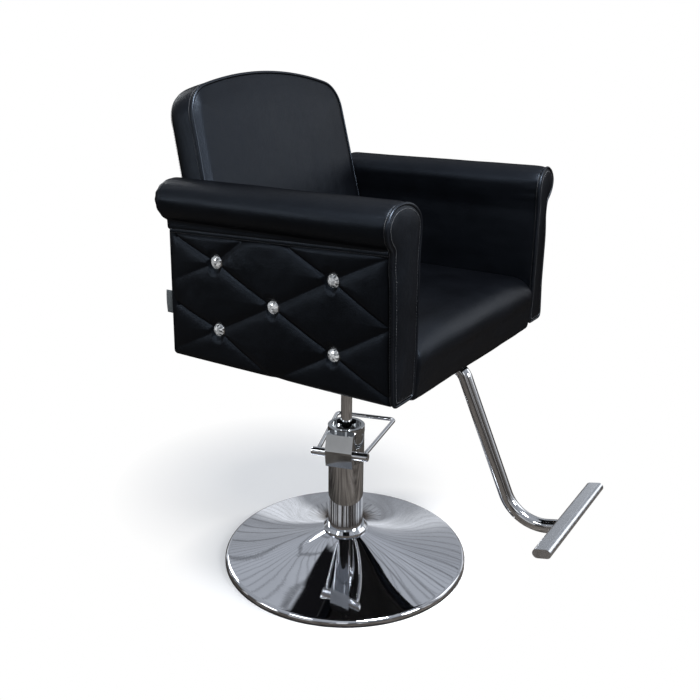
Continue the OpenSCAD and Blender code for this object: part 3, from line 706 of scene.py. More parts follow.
def set_grooves():
    c1, c2, c3, c4, c5 = [tuple(g) for g in GEMS]
    apex_f, apex_r, foot = (-0.057, 0.818), (-0.024, 0.818), (-0.058, 0.5535)
    rear_top, rear_mid, rear_bot, rear_up = (0.186, 0.797), (0.190, 0.668), (0.190, 0.563), (0.190, 0.700)
    fr_top, fr_mid, fr_bot = (-0.3000, 0.806), (-0.3000, 0.689), (-0.3000, 0.5685)
    for a, b, k, da, db in (
        (rear_top, c1, 1, 0.6, 1.0), (c1, c3, 1, 1, 1), (c3, c5, 1, 1, 1), (c5, fr_bot, 1, 1, 0.6),
        (apex_f, c2, 1, 0.95, 1.0), (c2, fr_mid, 1, 1, 0.7),
        (rear_mid, c4, 1, 0.6, 1.0), (c4, foot, 1, 0.8, 0.25),
        (apex_r, c1, 2, 0.9, 1.0), (c1, rear_up, 2, 0.75, 0.0),
        (fr_top, c2, 2, 0.7, 1.0), (c2, c3, 2, 1, 1), (c3, c4, 2, 1, 1), (c4, rear_bot, 2, 0.7, 0.2),
        (fr_mid, c5, 2, 0.8, 1.0), (c5, foot, 2, 1.0, 0.5),
    ):
        GROOVES.append((np.array(a), np.array(b), k, da, db))


set_grooves()


def quilt_drop(y, z):
    """How far the quilted face lies below its crest, in metres."""
    p = np.stack([y.ravel(), z.ravel()], 1)
    drop = np.zeros(len(p))
    for a, b, kind, da, db in GROOVES:
        ab = b - a
        L = np.linalg.norm(ab)
        u = ab / L
        nrm = np.array([-u[1], u[0]])
        if nrm[1] < 0:
            nrm = -nrm
        t = (p - a) @ u
        tc = np.clip(t, 0, L)
        q = p - (a + tc[:, None] * u)
        d = np.linalg.norm(q, axis=1)
        sgn = q @ nrm
        depth = da + (db - da) * tc / L
        # between two buttons the fold is a little shallower at its middle
        depth = depth * (1 - 0.22 * np.sin(np.pi * tc / L))
        if kind == 1:
            # a crisp fold: steep above, a flat lip below that catches the light
            up = np.exp(-d / 0.0045)
            lo = 0.76 * np.exp(-d / 0.0050) + 0.24 * np.exp(-d / 0.019)
            w = 1 / (1 + np.exp(np.clip(-sgn / 0.0004, -60, 60)))
            k = w * up + (1 - w) * lo
            k = 0.86 * k + 0.14 * np.exp(-d / 0.022)
            amp = 0.0092
        else:
            dd = np.sqrt(d ** 2 + 0.0016 ** 2)
            k = 0.62 * np.exp(-dd / 0.0070) + 0.38 * np.exp(-dd / 0.020)
            amp = 0.0088
        drop = np.maximum(drop, amp * depth * k)
    for i, g in enumerate(GEMS):
        v = p - g
        r = np.linalg.norm(v, axis=1)
        th = np.arctan2(v[:, 1], v[:, 0])
        pit = 0.0094 * np.exp(-np.clip(r - 0.0131, 0, None) / 0.0060)
        drop = np.maximum(np.where(r < 0.0131, 0.0094, drop), pit)
        # short puckers that run out of each button
        drop = drop + 0.00014 * np.cos(11 * th + i) * np.exp(-np.abs(r - 0.020) / 0.007) * (r > 0.0131)
    return drop.reshape(y.shape)


def side_sign(o, s):
    """Mirrors a piece modelled at +X to the sitter's right."""
    if s < 0:
        for v in o.data.vertices:
            v.co.x = -v.co.x
        o.data.flip_normals()
    return o


pieces = []


def finish_piece(o, node=None, replaces=(), body="seat"):
    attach(o, body)
    if replaces:
        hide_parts(*replaces)
    pieces.append(o)
    return o


# ------------------------------------------------------------------ arm: facing


def build_facing(s, tag):
    outline = facing_outline()
    spine = facing_spine(outline)
    y0 = -0.3060

    def to3d(q, h):
        x = q[:, 0]
        z = q[:, 1]
        return np.stack([x, y0 - h + lean(z, x), z], 1)

    def height(d, q):
        h = 0.0046 * (1 - np.exp(-d / 0.0085)) + 0.0008 * np.clip(d / 0.03, 0, 1)
        w = fbm(np.stack([q[:, 0] * 3.0, q[:, 1] * 0.8, q[:, 0] * 0], 1), 26, 2 + s, 2)
        return h + 0.0005 * w * np.clip(d / 0.008, 0, 1)

    b = Build()
    band = [(-0.0006, 0.0004), (-0.0020, 0.0009), (-0.0040, 0.0011), (-0.0060, 0.0009),
            (-0.0072, 0.0001), (-0.0078, -0.0016), (-0.0080, -0.0040)]
    # n is the rise forward of the piping line, so the band runs back with negative n
    _, out = pillow(b, outline, spine, to3d, height, band, lambda f: 0.0)
    o = side_sign(b.obj("arm_face_" + tag, VINYL), s)
    recalc(o)
    finish_piece(o, replaces=("arm_facing_" + tag,))

    # piping round the front edge, with its seam
    p = outline + out * 0.0012
    path = np.stack([p[:, 0], y0 + 0.0002 + lean(p[:, 1], p[:, 0]), p[:, 1]], 1)
    b = Build()
    sweep(b, path, 0.0027, closed=True, k=12, up=(0, 1, 0))
    o = side_sign(b.obj("arm_face_piping_" + tag, VINYL_PIPING_LIT), s)
    recalc(o)
    finish_piece(o)

    # a row of stitches just inside the piping and one on the band
    b = Build()
    q = outline - out * 0.0060
    d = np.full(len(q), 0.0060)
    h = height(d, q)
    path = np.stack([q[:, 0], y0 - h + lean(q[:, 1], q[:, 0]), q[:, 1]], 1)
    stitches(b, path, np.tile([0, -1.0, 0], (len(path), 1)) - np.stack([out[:, 0], 0 * out[:, 0], out[:, 1]], 1) * -0.35,
             closed=True)
    q = outline + out * 0.0011
    path = np.stack([q[:, 0], y0 + 0.0050 + lean(q[:, 1], q[:, 0]), q[:, 1]], 1)
    stitches(b, path, np.stack([out[:, 0], 0 * out[:, 0], out[:, 1]], 1), closed=True)
    o = side_sign(b.obj("arm_face_stitches_" + tag, THREAD), s)
    recalc(o)
    finish_piece(o)


# ------------------------------------------------------------------ arm: inner side and scroll


def wrap_section(f):
    """Closed loop in (x, z): inner face, scroll, neck, and a hidden return."""
    inner = [(ARM_IN - 0.0026 * math.sin(math.pi * (z - ARM_BOT) / (0.80 - ARM_BOT)), z)
             for z in np.linspace(ARM_BOT + 0.006, 0.795, 60)]
    blend = [(0.2640, 0.803), (0.2632, 0.814), (0.2617, 0.827), (0.2603, 0.841)]
    arch = scroll_outline(f)
    nx, nz = arch[-1]
    ret = [(nx - 0.002, nz - 0.003), (nx - 0.012, nz - 0.004), (0.306, nz - 0.008), (0.2885, nz - 0.018),
           (0.2866, nz - 0.05), (0.2880, ARM_BOT + 0.004), (0.2880, ARM_BOT - 0.0010), (0.268, ARM_BOT - 0.0008), (0.2645, ARM_BOT + 0.002)]
    return np.array(inner + blend + list(arch) + ret)


def build_wrap(s, tag):
    ys = np.r_[np.linspace(FRONT - 0.004, FRONT + 0.02, 8), np.linspace(FRONT + 0.026, REAR - 0.008, 84),
               REAR - 0.0035, REAR]
    n = 300
    g = []
    for y in ys:
        f = float(np.clip((0.184 - y) / (0.184 - FRONT), 0, 1))
        sec = wrap_section(f)
        sec = resample(sec, 0.0032, closed=True)
        d = np.linalg.norm(np.roll(sec, -1, 0) - sec, axis=1)
        cum = np.r_[0, np.cumsum(d)]
        t = np.linspace(0, cum[-1], n, endpoint=False)
        loop = np.vstack([sec, sec[:1]])
        q = np.stack([np.interp(t, cum, loop[:, 0]), np.interp(t, cum, loop[:, 1])], 1)
        # the edge turns in slightly at both ends
        turn = 0.0030 * math.exp(-abs(y - (FRONT - 0.004)) / 0.0075) + 0.003 * max(0.0, (y - (REAR - 0.006)) / 0.006)
        c = np.array([0.300, 0.74])
        t2 = np.roll(q, -1, 0) - np.roll(q, 1, 0)
        t2 /= np.linalg.norm(t2, axis=1)[:, None]
        nrm = np.stack([-t2[:, 1], t2[:, 0]], 1)
        q = q - nrm * turn
        k = float(np.clip((0.05 - y) / (0.05 - FRONT), 0, 1))
        g.append(np.stack([q[:, 0], y + k * lean(q[:, 1], q[:, 0]), q[:, 1]], 1))
    g = np.array(g)
    # gentle unevenness of the stuffing, and fine drag lines along the roll near its ends
    flat = g.reshape(-1, 3)
    w = fbm(flat * np.array([1.0, 0.35, 1.0]), 22, 5 + s, 2)
    top = np.clip((flat[:, 2] - 0.80) / 0.03, 0.0, 1)
    end = np.exp(-np.abs(flat[:, 1] - FRONT) / 0.03) + np.exp(-np.abs(flat[:, 1] - REAR) / 0.03)
    ang = np.arctan2(flat[:, 2] - 0.855, flat[:, 0] - 0.3078)
    pleat = np.cos(ang * 17 + 0.7 * s) * end * top * 0.00045
    c = np.stack([np.full(len(flat), 0.3), flat[:, 1], np.clip(flat[:, 2], 0.56, 0.852)], 1)
    dirn = flat - c
    dirn /= np.maximum(np.linalg.norm(dirn, axis=1), 1e-6)[:, None]
    flat = flat + dirn * (0.0008 * w + pleat)[:, None]
    g = flat.reshape(g.shape)
    b = Build()
    b.grid(g, wrap_v=True)
    for e, flip in ((0, False), (len(ys) - 1, True)):
        loop = g[e]
        base = b.add(loop, [])
        ids = [base + i for i in range(n)]
        b.f.append(tuple(ids if flip else ids[::-1]))
    # rounded rear end of the scroll, gathered into small pleats
    k = 128
    th = np.arange(k) * math.tau / k
    cen = np.array([0.3078, 0.8550])
    sec = np.stack([0.0481 * np.cos(th), np.where(np.sin(th) > 0, 0.0366, 0.0450) * np.sin(th)], 1)
    rings = []
    for a in np.linspace(0, 90, 30):
        ca, sa = math.cos(math.radians(a)), math.sin(math.radians(a))
        rr = ca ** 0.80
        pl = 0.0008 * np.cos(15 * th) * sa * ca * 1.6
        q = cen + sec * (rr + pl / 0.045)[:, None]
        rings.append(np.stack([q[:, 0], np.full(k, 0.1800 + 0.0245 * sa), q[:, 1]], 1))
    r0 = rings[0].copy()
    r0[:, 1] = 0.160
    r0[:, 0] = cen[0] + (r0[:, 0] - cen[0]) * 0.985
    r0[:, 2] = cen[1] + (r0[:, 2] - cen[1]) * 0.985
    b.grid(np.array([r0] + rings), wrap_v=True)
    o = side_sign(b.obj("arm_wrap_" + tag, VINYL), s)
    recalc(o)
    finish_piece(o, replaces=("arm_scroll_" + tag, "arm_inner_pad_" + tag))


# ------------------------------------------------------------------ arm: quilted side


def build_quilt(s, tag):
    ys = np.linspace(FRONT - 0.0005, REAR + 0.001, 380)
    vs = np.linspace(0, 1, 200)
    Y, V = np.meshgrid(ys, vs, indexing="ij")
    top = neck_z(Y) + 0.0015
    bot = ARM_BOT - 0.0009
    Z = bot + (top - bot) * V
    X = 0.3288 + (Z - ARM_BOT) / 0.25 * 0.0012
    # crest stands proud; folds and buttons pull it in
    drop = quilt_drop(Y, Z)
    edge = np.minimum.reduce([Y - (FRONT - 0.0005), (REAR + 0.001) - Y, (top - Z), (Z - bot) * 1.3])
    side_edge = np.minimum.reduce([Y - (FRONT - 0.0005), (REAR + 0.001) - Y, (Z - bot) * 1.3])
    roll = 0.0075 * np.exp(-side_edge / 0.0050)
    # tucked under the seam strip along the top
    roll = np.maximum(roll, 0.0056 / (1 + np.exp((top - Z - 0.0098) / 0.0017)))
    sag = 0.0016 * np.clip(edge / 0.05, 0, 1)
    w = fbm(np.stack([X.ravel() * 0, Y.ravel(), Z.ravel()], 1), 24, 9 + s, 2).reshape(Y.shape)
    X = X + 0.0058 + sag - np.maximum(drop, 0) - roll + 0.0006 * w * np.clip(edge / 0.02, 0, 1)
    kf = np.clip((0.05 - Y) / (0.05 - FRONT), 0, 1)
    kr = np.clip((Y - 0.05) / (REAR - 0.05), 0, 1)
    Y2 = Y + kf * lean(Z, X) - kr * 0.0055 * np.clip((Z - ARM_BOT) / 0.24, 0, 1)
    g = np.stack([X, Y2, Z], -1)
    b = Build()
    b.grid(g)
    # rim of the pad, carried in to the frame, and its hidden back
    rim = np.concatenate([g[:, 0], g[-1, 1:], g[-2::-1, -1], g[0, -2:0:-1]])
    k1 = rim.copy()
    k1[:, 0] -= 0.006
    c = np.array([0, -0.05, 0.68])
    k1[:, 1:] = c[1:] + (k1[:, 1:] - c[1:]) * 0.9985
    k2 = k1.copy()
    k2[:, 0] = 0.2870
    k3 = k2.copy()
    k3[:, 1:] = c[1:] + (k3[:, 1:] - c[1:]) * 0.5
    k4 = k2.copy()
    k4[:, 1:] = c[1:]
    b.grid(np.array([rim, k1, k2, k3, k4]), wrap_v=True)
    o = side_sign(b.obj("arm_quilt_" + tag, VINYL_QUILT_SHADED), s)
    recalc(o)
    finish_piece(o, replaces=("arm_side_panel_" + tag,))

    # topstitched strip under the scroll: a flat tape with two rows of stitches
    yy = np.linspace(FRONT + 0.0085, REAR - 0.008, 160)
    zc = neck_z(yy) - 0.0034
    prof = [(-0.0062, -0.0035), (-0.0058, -0.0006), (-0.0044, 0.0006), (0.0, 0.0011), (0.0044, 0.0006), (0.0058, -0.0006),
            (0.0062, -0.0035)]
    rows = []
    for dz, dx in prof:
        x = 0.3322 + (zc + dz - ARM_BOT) / 0.25 * 0.0 + dx
        rows.append(np.stack([np.full(len(yy), 1.0) * x, yy, zc + dz], 1))
    back = [np.stack([np.full(len(yy), 0.322), yy, zc + dz], 1) for dz in (0.0062, -0.0062)]
    g = np.array(rows + back)
    b = Build()
    b.grid(g, wrap_u=True)
    o = side_sign(b.obj("arm_seam_" + tag, VINYL), s)
    recalc(o)
    finish_piece(o)
    b = Build()
    for dz in (-0.0032, 0.0032):
        x = 0.3322 + 0.0008
        path = np.stack([np.full(len(yy), x), yy, zc + dz], 1)
        stitches(b, path, np.tile([1.0, 0, 0], (len(yy), 1)))
    o = side_sign(b.obj("arm_seam_stitches_" + tag, THREAD), s)
    recalc(o)
    finish_piece(o)


# ------------------------------------------------------------------ arm: rear end


def build_rear(s, tag):
    r = 0.008
    x0, x1, z0, z1 = ARM_IN + 0.0004, 0.3318, ARM_BOT + 0.0002, 0.8040
    pts = []
    for cx, cz, a0 in ((x1 - r, z0 + r, -90), (x1 - r, z1 - r, 0), (x0 + r, z1 - r, 90), (x0 + r, z0 + r, 180)):
        for a in np.radians(np.linspace(a0, a0 + 90, 8)):
            pts.append((cx + r * math.cos(a), cz + r * math.sin(a)))
    outline = resample(np.array(pts), 0.0035, closed=True)
    spine = np.stack([np.full(len(outline), 0.2975), np.clip(outline[:, 1], 0.59, 0.775)], 1)
    y0 = 0.1845

    def back_y(z):
        return y0 - 0.0055 * np.clip((z - ARM_BOT) / 0.24, 0, 1)

    def to3d(q, h):
        return np.stack([q[:, 0], back_y(q[:, 1]) + h, q[:, 1]], 1)

    def height(d, q):
        w = fbm(np.stack([q[:, 0], q[:, 1], q[:, 0] * 0], 1), 30, 21 + s, 2)
        return 0.0042 * (1 - np.exp(-d / 0.008)) + 0.0005 * w * np.clip(d / 0.008, 0, 1)

    b = Build()
    _, out = pillow(b, outline, spine, to3d, height,
                    [(-0.001, 0.0004), (-0.004, 0.0006), (-0.010, 0.0), (-0.0185, 0.0)], lambda f: 0.0)
    o = side_sign(b.obj("arm_rear_" + tag, VINYL), s)
    recalc(o)
    finish_piece(o, replaces=("arm_rear_pad_" + tag,))
    b = Build()
    q = outline - out * 0.0055
    h = height(np.full(len(q), 0.0055), q)
    path = np.stack([q[:, 0], back_y(q[:, 1]) + h, q[:, 1]], 1)
    stitches(b, path, np.tile([0, 1.0, 0], (len(path), 1)), closed=True)
    o = side_sign(b.obj("arm_rear_stitches_" + tag, THREAD), s)
    recalc(o)
    finish_piece(o)


def build_gems(s, tag):
    """Cut stones in their cups: table, eight stars, eight kites, sixteen girdle facets."""
    b = Build()
    H = 0.0074
    for i, (gy, gz) in enumerate(GEMS):
        rot = 0.35 * i
        x0 = 0.3272
        a8 = np.arange(8) * math.tau / 8 + rot
        a8b = a8 + math.tau / 16
        a16 = np.arange(16) * math.tau / 16 + rot

        def ring(ang, r, h):
            return np.stack([np.full(len(ang), x0 + h), gy + r * np.cos(ang), gz + r * np.sin(ang)], 1)

        v = np.vstack([ring(a8, 0.0062, H), ring(a8b, 0.0094, H * 0.68), ring(a16, 0.0123, 0.0012), ring(a16, 0.0123, -0.0008),
                       [(x0 - 0.001, gy, gz)], [(x0 + H + 0.0006, gy + 0.0006, gz - 0.0004)]])
        f = [(k, 49, (k + 1) % 8) for k in range(8)]
        for k in range(8):
            k2 = (k + 1) % 8
            f.append((k, 8 + k, k2))                       # star
            g0, g1, g2 = 16 + 2 * k, 16 + 2 * k + 1, 16 + (2 * k + 2) % 16
            f.append((k, 8 + (k - 1) % 8, g0))             # kite, in two
            f.append((k, g0, 8 + k))
            f.append((8 + k, g0, g1))                      # girdle facets
            f.append((8 + k, g1, g2))
        for k in range(16):
            k2 = (k + 1) % 16
            f.append((16 + k, 32 + k, 32 + k2, 16 + k2))
            f.append((32 + k, 48, 32 + k2))
        b.add(v, f)
    o = side_sign(b.obj("crystal_stones_" + tag, CRYSTAL_PAINTED_GLINTS, smooth=False), s)
    recalc(o, smooth=False)
    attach(o, "seat")
    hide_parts("crystals_" + tag)


for s, tag in ((-1, "right"), (1, "left")):
    build_gems(s, tag)
    build_facing(s, tag)
    build_wrap(s, tag)
    build_quilt(s, tag)
    build_rear(s, tag)

# ------------------------------------------------------------------ backrest
REC = math.radians(12.87)
BY = 0.1523
B_UP = np.array([0, math.sin(REC), math.cos(REC)])
B_FWD = np.array([0, -math.cos(REC), math.sin(REC)])


def back_to3d(q, h):
    return (np.array([0, BY, 0.850])[None] + q[:, :1] * np.array([1.0, 0, 0]) + q[:, 1:2] * B_UP
            + np.asarray(h, float)[:, None] * B_FWD)


def back_outline():
    taper, big, rc, up, hw = 0.0455, 0.880, 0.062, 0.2295, 0.2543
    cy = up - big
    cx = hw - taper * 0.150 - rc - 0.0005
    cz = cy + math.sqrt((big - rc) ** 2 - cx * cx)
    a1 = math.atan2(cz - cy, cx)
    lo = -0.245
    knee = (hw - 0.259) / taper
    pts = [(0.250, lo), (0.2565, lo + 0.005), (0.259, lo + 0.014), (0.259, knee)]
    for a in np.linspace(math.radians(2.6), a1, 16):
        pts.append((cx + rc * math.cos(a), cz + rc * math.sin(a)))
    for i in range(1, 24):
        a = a1 + (math.pi / 2 - a1) * i / 24
        pts.append((big * math.cos(a), cy + big * math.sin(a)))
    pts.append((0.0, up))
    left = [(-x, z) for x, z in pts[-2::-1]]
    return relax(resample(np.array(pts + left), 0.004, closed=True), 2)


def build_back():
    outline = back_outline()
    spine = np.stack([np.full(len(outline), 0.0), np.clip(outline[:, 1], -0.08, 0.04)], 1)
    spine[:, 0] = 0.0

    def height(d, q):
        # bevelled border, then a slow crown
        top_ = np.clip((q[:, 1] - 0.06) / 0.12, 0, 1) * np.clip((0.228 - np.abs(q[:, 0])) / 0.06, 0, 1)
        top_ = top_ * top_ * (3 - 2 * top_)
        ramp_ = np.clip(d / (0.0165 + 0.080 * top_), 0, 1)
        h = 0.0070 * (1 - (1 - ramp_) ** (1.12 + 1.1 * top_))
        h = h + 0.0035 * (1 - np.exp(-np.clip(d - 0.018, 0, None) / 0.07))
        v = np.stack([q[:, 0] * 2.6, q[:, 1] * 0.45, q[:, 0] * 0], 1)
        w = fbm(v, 15, 31, 2)
        lowz = np.clip((-q[:, 1]) / 0.2, 0, 1)
        return h + (0.0003 + 0.0003 * lowz) * w * np.clip((d - 0.012) / 0.03, 0, 1)

    b = Build()
    e = np.array([0, .006, .013, .022, .033, .046, .062, .08, .1, .125])
    fr = np.r_[e, np.linspace(.15, 1.0, 46)]
    band = [(-0.0005, 0.0006), (-0.003, 0.0012), (-0.009, 0.0020), (-0.018, 0.0028), (-0.028, 0.0031), (-0.038, 0.0029),
            (-0.047, 0.0021), (-0.0540, 0.0005), (-0.0588, -0.0022), (-0.0616, -0.0060), (-0.0630, -0.0105), (-0.0636, -0.017)]
    _, out = pillow(b, outline, spine, lambda q, h: back_to3d(q, h), height, band,
                    lambda f: -0.0030 * (1 - (1 - f) ** 3), fracs=fr)
    o = b.obj("backrest_cover", VINYL)
    recalc(o)
    finish_piece(o, replaces=("back_pad",))

    # lower rear part of the pad, behind the seat, over board and brackets
    lo = [(-0.259, -0.300), (0.259, -0.300), (0.259, -0.240), (-0.259, -0.240)]
    q = resample(np.array(lo), 0.006, closed=True)
    q = relax(q, 1)
    sp = np.stack([np.clip(q[:, 0], -0.2, 0.2), np.full(len(q), -0.27)], 1)
    b = Build()
    pillow(b, q, sp, lambda a, h: back_to3d(a, h), lambda d, p: -0.0262 + 0.0 * d,
           [(-0.030, 0.0), (-0.045, 0.0012), (-0.054, 0.000), (-0.060, -0.004), (-0.0632, -0.010)], lambda f: -0.001,
           fracs=np.linspace(0, 1, 6))
    o = b.obj("backrest_lower", VINYL)
    recalc(o)
    finish_piece(o, replaces=("back_rear_pad",))

    # piping round the front edge
    p = outline + out * 0.0012
    keep = p[:, 1] > -0.238
    i0 = int(np.argmax(~keep))
    p = np.roll(p, -i0, 0)
    p = p[p[:, 1] > -0.238]
    p = resample(p, 0.004)
    path = back_to3d(p, np.full(len(p), 0.0004))
    b = Build()
    sweep(b, path, 0.0030, k=12, up=tuple(B_FWD))
    o = b.obj("backrest_piping", VINYL_PIPING_LIT)
    recalc(o)
    finish_piece(o)

    # stitches beside the piping on the band, and a seam on the rear edge
    b = Build()
    t = np.gradient(p, axis=0)
    t /= np.linalg.norm(t, axis=1)[:, None]
    oo = np.stack([t[:, 1], -t[:, 0]], 1)
    if ((p - p.mean(0)) * oo).sum() < 0:
        oo = -oo
    nrm = back_to3d(oo, np.zeros(len(oo))) - back_to3d(oo * 0, np.zeros(len(oo)))
    path = back_to3d(p + oo * 0.0010, np.full(len(p), -0.0078))
    stitches(b, path, nrm)
    pr = p - oo * 0.0040
    path = back_to3d(pr, np.full(len(p), -0.0602))
    stitches(b, path, nrm * 0.7 - B_FWD * 0.7)
    o = b.obj("backrest_stitches", THREAD)
    recalc(o)
    finish_piece(o)


build_back()

# ------------------------------------------------------------------ seat cushion


def seat_profile():
    """Side profile (y, z) from the rear of the top, over the front, to under the front edge."""
    pts = []
    yb = BY + (0.656 - 0.850) * math.tan(REC) + 0.004
    for y in np.linspace(yb, -0.262, 60):
        pts.append((y, 0.6560))
    cx, cz, r = -0.262, 0.6130, 0.0430
    rx = 0.0520
    for a in np.radians(np.linspace(90, 180, 26))[1:]:
        pts.append((cx + rx * math.cos(a), cz + r * math.sin(a)))
    for z in np.linspace(0.611, 0.5535, 16)[1:]:
        pts.append((-0.3140 + (0.611 - z) * 0.09, z))
    yb2, zb2 = -0.3140 + (0.611 - 0.5535) * 0.09, 0.5535
    for a in np.radians(np.linspace(180, 270, 10))[1:]:
        pts.append((yb2 + 0.012 + 0.012 * math.cos(a), zb2 + 0.012 * math.sin(a)))
    pts.append((-0.290, 0.5414))
    pts.append((-0.284, 0.5412))
    return resample(np.array(pts), 0.0045)


def build_seat():
    prof = seat_profile()
    n = len(prof)
    t = np.gradient(prof, axis=0)
    t /= np.linalg.norm(t, axis=1)[:, None]
    nrm = np.stack([t[:, 1], -t[:, 0]], 1)
    if nrm[5, 1] < 0:
        nrm = -nrm
    W = 0.2632
    xs = np.r_[-np.cos(np.linspace(0, math.pi / 2, 14)) * 0.030 - (W - 0.030), np.linspace(-(W - 0.030), W - 0.030, 74)[1:-1],
               np.sin(np.linspace(0, math.pi / 2, 14)) * 0.030 + (W - 0.030)]
    g = []
    yy = prof[:, 0]
    zz = prof[:, 1]
    for x in xs:
        e = W - abs(x)
        R = 0.0125
        k = np.clip(1 - e / R, 0, 1)
        inset = R * (1 - math.sqrt(max(0.0, 1 - k * k)))
        cx = 1 - (abs(x) / W) ** 2.6
        cy = np.clip((0.10 - yy) / 0.06, 0, 1) ** 0.5
        top = np.clip((zz - 0.600) / 0.05, 0, 1)
        low = np.clip((zz - 0.545) / 0.03, 0, 1)
        crown = 0.0115 * cx * (0.35 + 0.65 * cy) * top + 0.0035 * cx * low * (1 - top)
        q = prof + nrm * (crown - inset)[:, None]
        g.append(np.stack([np.full(n, x), q[:, 0], q[:, 1]], 1))
    g = np.array(g)
    flat = g.reshape(-1, 3)
    w = fbm(flat * np.array([0.6, 1.0, 1.0]), 13, 41, 2)
    # shallow drag wrinkles where the cover is pulled round the front corners
    d1 = np.exp(-((np.abs(flat[:, 0]) - 0.235) / 0.03) ** 2) * np.exp(-((flat[:, 2] - 0.60) / 0.05) ** 2)
    rip = np.sin((flat[:, 0] * np.sign(flat[:, 0]) * 0.6 + flat[:, 2]) * 260) * d1
    N = np.zeros_like(flat)
    N[:, 1:] = np.tile(nrm, (len(xs), 1))
    flat = flat + N * (0.0011 * w + 0.00045 * rip)[:, None]
    g = flat.reshape(g.shape)
    b = Build()
    b.grid(g)
    # closed sides, rear and underside
    rim = np.concatenate([g[:, 0], g[-1, 1:], g[-2::-1, -1], g[0, -2:0:-1]])
    k1 = rim.copy()
    k1[:, 0] = np.clip(k1[:, 0], -(W - 0.0), W - 0.0)
    low = k1.copy()
    low[:, 2] = np.minimum(low[:, 2], 0.612)
    low[:, 1] = np.maximum(low[:, 1], -0.2925)
    mid = low.copy()
    mid[:, 0] *= 0.3
    mid[:, 1] = -0.1 + (mid[:, 1] + 0.1) * 0.3
    mid[:, 2] = 0.611
    cen = mid.copy()
    cen[:, 0] = 0
    cen[:, 1] = -0.1
    b.grid(np.array([rim, low, mid, cen]), wrap_v=True)
    o = b.obj("seat_pad", VINYL)
    recalc(o)
    finish_piece(o, replaces=("seat_cushion",))


build_seat()

# ------------------------------------------------------------------ cloth under the seat


def build_under():
    """Black cloth tacked under the seat frame, cut out round the plate and the brackets."""
    xs = np.unique(np.round(np.r_[np.linspace(-0.2625, 0.2625, 43), [-0.172, -0.128, -0.112, -0.048, 0.048, 0.112, 0.128, 0.172]], 5))
    ys = np.unique(np.round(np.r_[np.linspace(-0.2915, 0.0995, 33), [-0.285, -0.097, -0.095, 0.052, 0.097]], 5))
    holes = [(-0.112, 0.112, -0.097, 0.097), (-0.048, 0.048, -0.285, -0.095), (-0.172, -0.128, 0.052, 0.2), (0.128, 0.172, 0.052, 0.2)]
    X, Y = np.meshgrid(xs, ys, indexing="ij")
    edge = np.minimum.reduce([0.2625 - np.abs(X), Y + 0.2915, 0.0995 - Y])
    w = fbm(np.stack([X.ravel(), Y.ravel(), X.ravel() * 0], 1), 18, 41, 2).reshape(X.shape)
    Z = 0.5413 - 0.0007 * np.clip(edge / 0.03, 0, 1) + 0.0004 * w * np.clip(edge / 0.03, 0, 1)
    nx, ny = len(xs), len(ys)
    keep = np.ones((nx - 1, ny - 1), bool)
    for i in range(nx - 1):
        for j in range(ny - 1):
            cx, cy = (xs[i] + xs[i + 1]) / 2, (ys[j] + ys[j + 1]) / 2
            keep[i, j] = not any(a < cx < b and c < cy < d for a, b, c, d in holes)
    lower = np.stack([X, Y, Z], -1).reshape(-1, 3)
    upper = lower.copy()
    upper[:, 2] = 0.5428
    n = len(lower)

    def inside(i, j):
        return 0 <= i < nx - 1 and 0 <= j < ny - 1 and keep[i, j]

    f = []
    for i in range(nx - 1):
        for j in range(ny - 1):
            if not keep[i, j]:
                continue
            a, b_, c, d = i * ny + j, (i + 1) * ny + j, (i + 1) * ny + j + 1, i * ny + j + 1
            f.append((a, d, c, b_))
            f.append((n + a, n + b_, n + c, n + d))
            for (p, q, di, dj) in ((a, b_, 0, -1), (b_, c, 1, 0), (c, d, 0, 1), (d, a, -1, 0)):
                if not inside(i + di, j + dj):
                    f.append((p, q, n + q, n + p))
    b = Build()
    b.add(np.vstack([lower, upper]), f)
    o = b.obj("under_cover", CAMBRIC)
    recalc(o)
    finish_piece(o, replaces=("dust_cover",))


build_under()

# ------------------------------------------------------------------ tab in the rear seam


def build_tab():
    """A folded, bare woven tab."""
    zs = np.linspace(0.6370, 0.6810, 16)
    prof = []
    for a in np.linspace(-90, 90, 9):
        prof.append((0.0124 + 0.0008 * math.cos(math.radians(a)), 0.0009 * math.sin(math.radians(a))))
    line = [(-0.004, -0.0009)] + [(0.003, -0.0010), (0.008, -0.0010)] + prof + [(0.008, 0.0010), (0.003, 0.0010), (-0.004, 0.0009)]
    g = []
    for z in zs:
        bend = 0.0012 * math.sin((z - 0.637) / 0.044 * math.pi)
        g.append([(-0.3289 - b_ - bend * max(0.0, a) / 0.012, 0.1855 + a, z) for a, b_ in line])
    b = Build()
    g = np.array(g)
    b.grid(g, wrap_v=True)
    for e in (0, len(zs) - 1):
        base = b.add(g[e], [])
        b.f.append(tuple(range(base, base + g.shape[1])))
    o = b.obj("plain_tab", TAB)
    recalc(o)
    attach(o, "seat")
    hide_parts("blank_tab")


build_tab()

# ------------------------------------------------------------------ bent chrome: foot lever and footrest tube


def turn_pts(c, r, h0, h1, n):
    s = 1 if h1 > h0 else -1
    out = []
    for i in range(n + 1):
        h = math.radians(h0 + (h1 - h0) * i / n)
        out.append((c[0] + r * s * math.sin(h), c[1] - r * s * math.cos(h)))
    return out


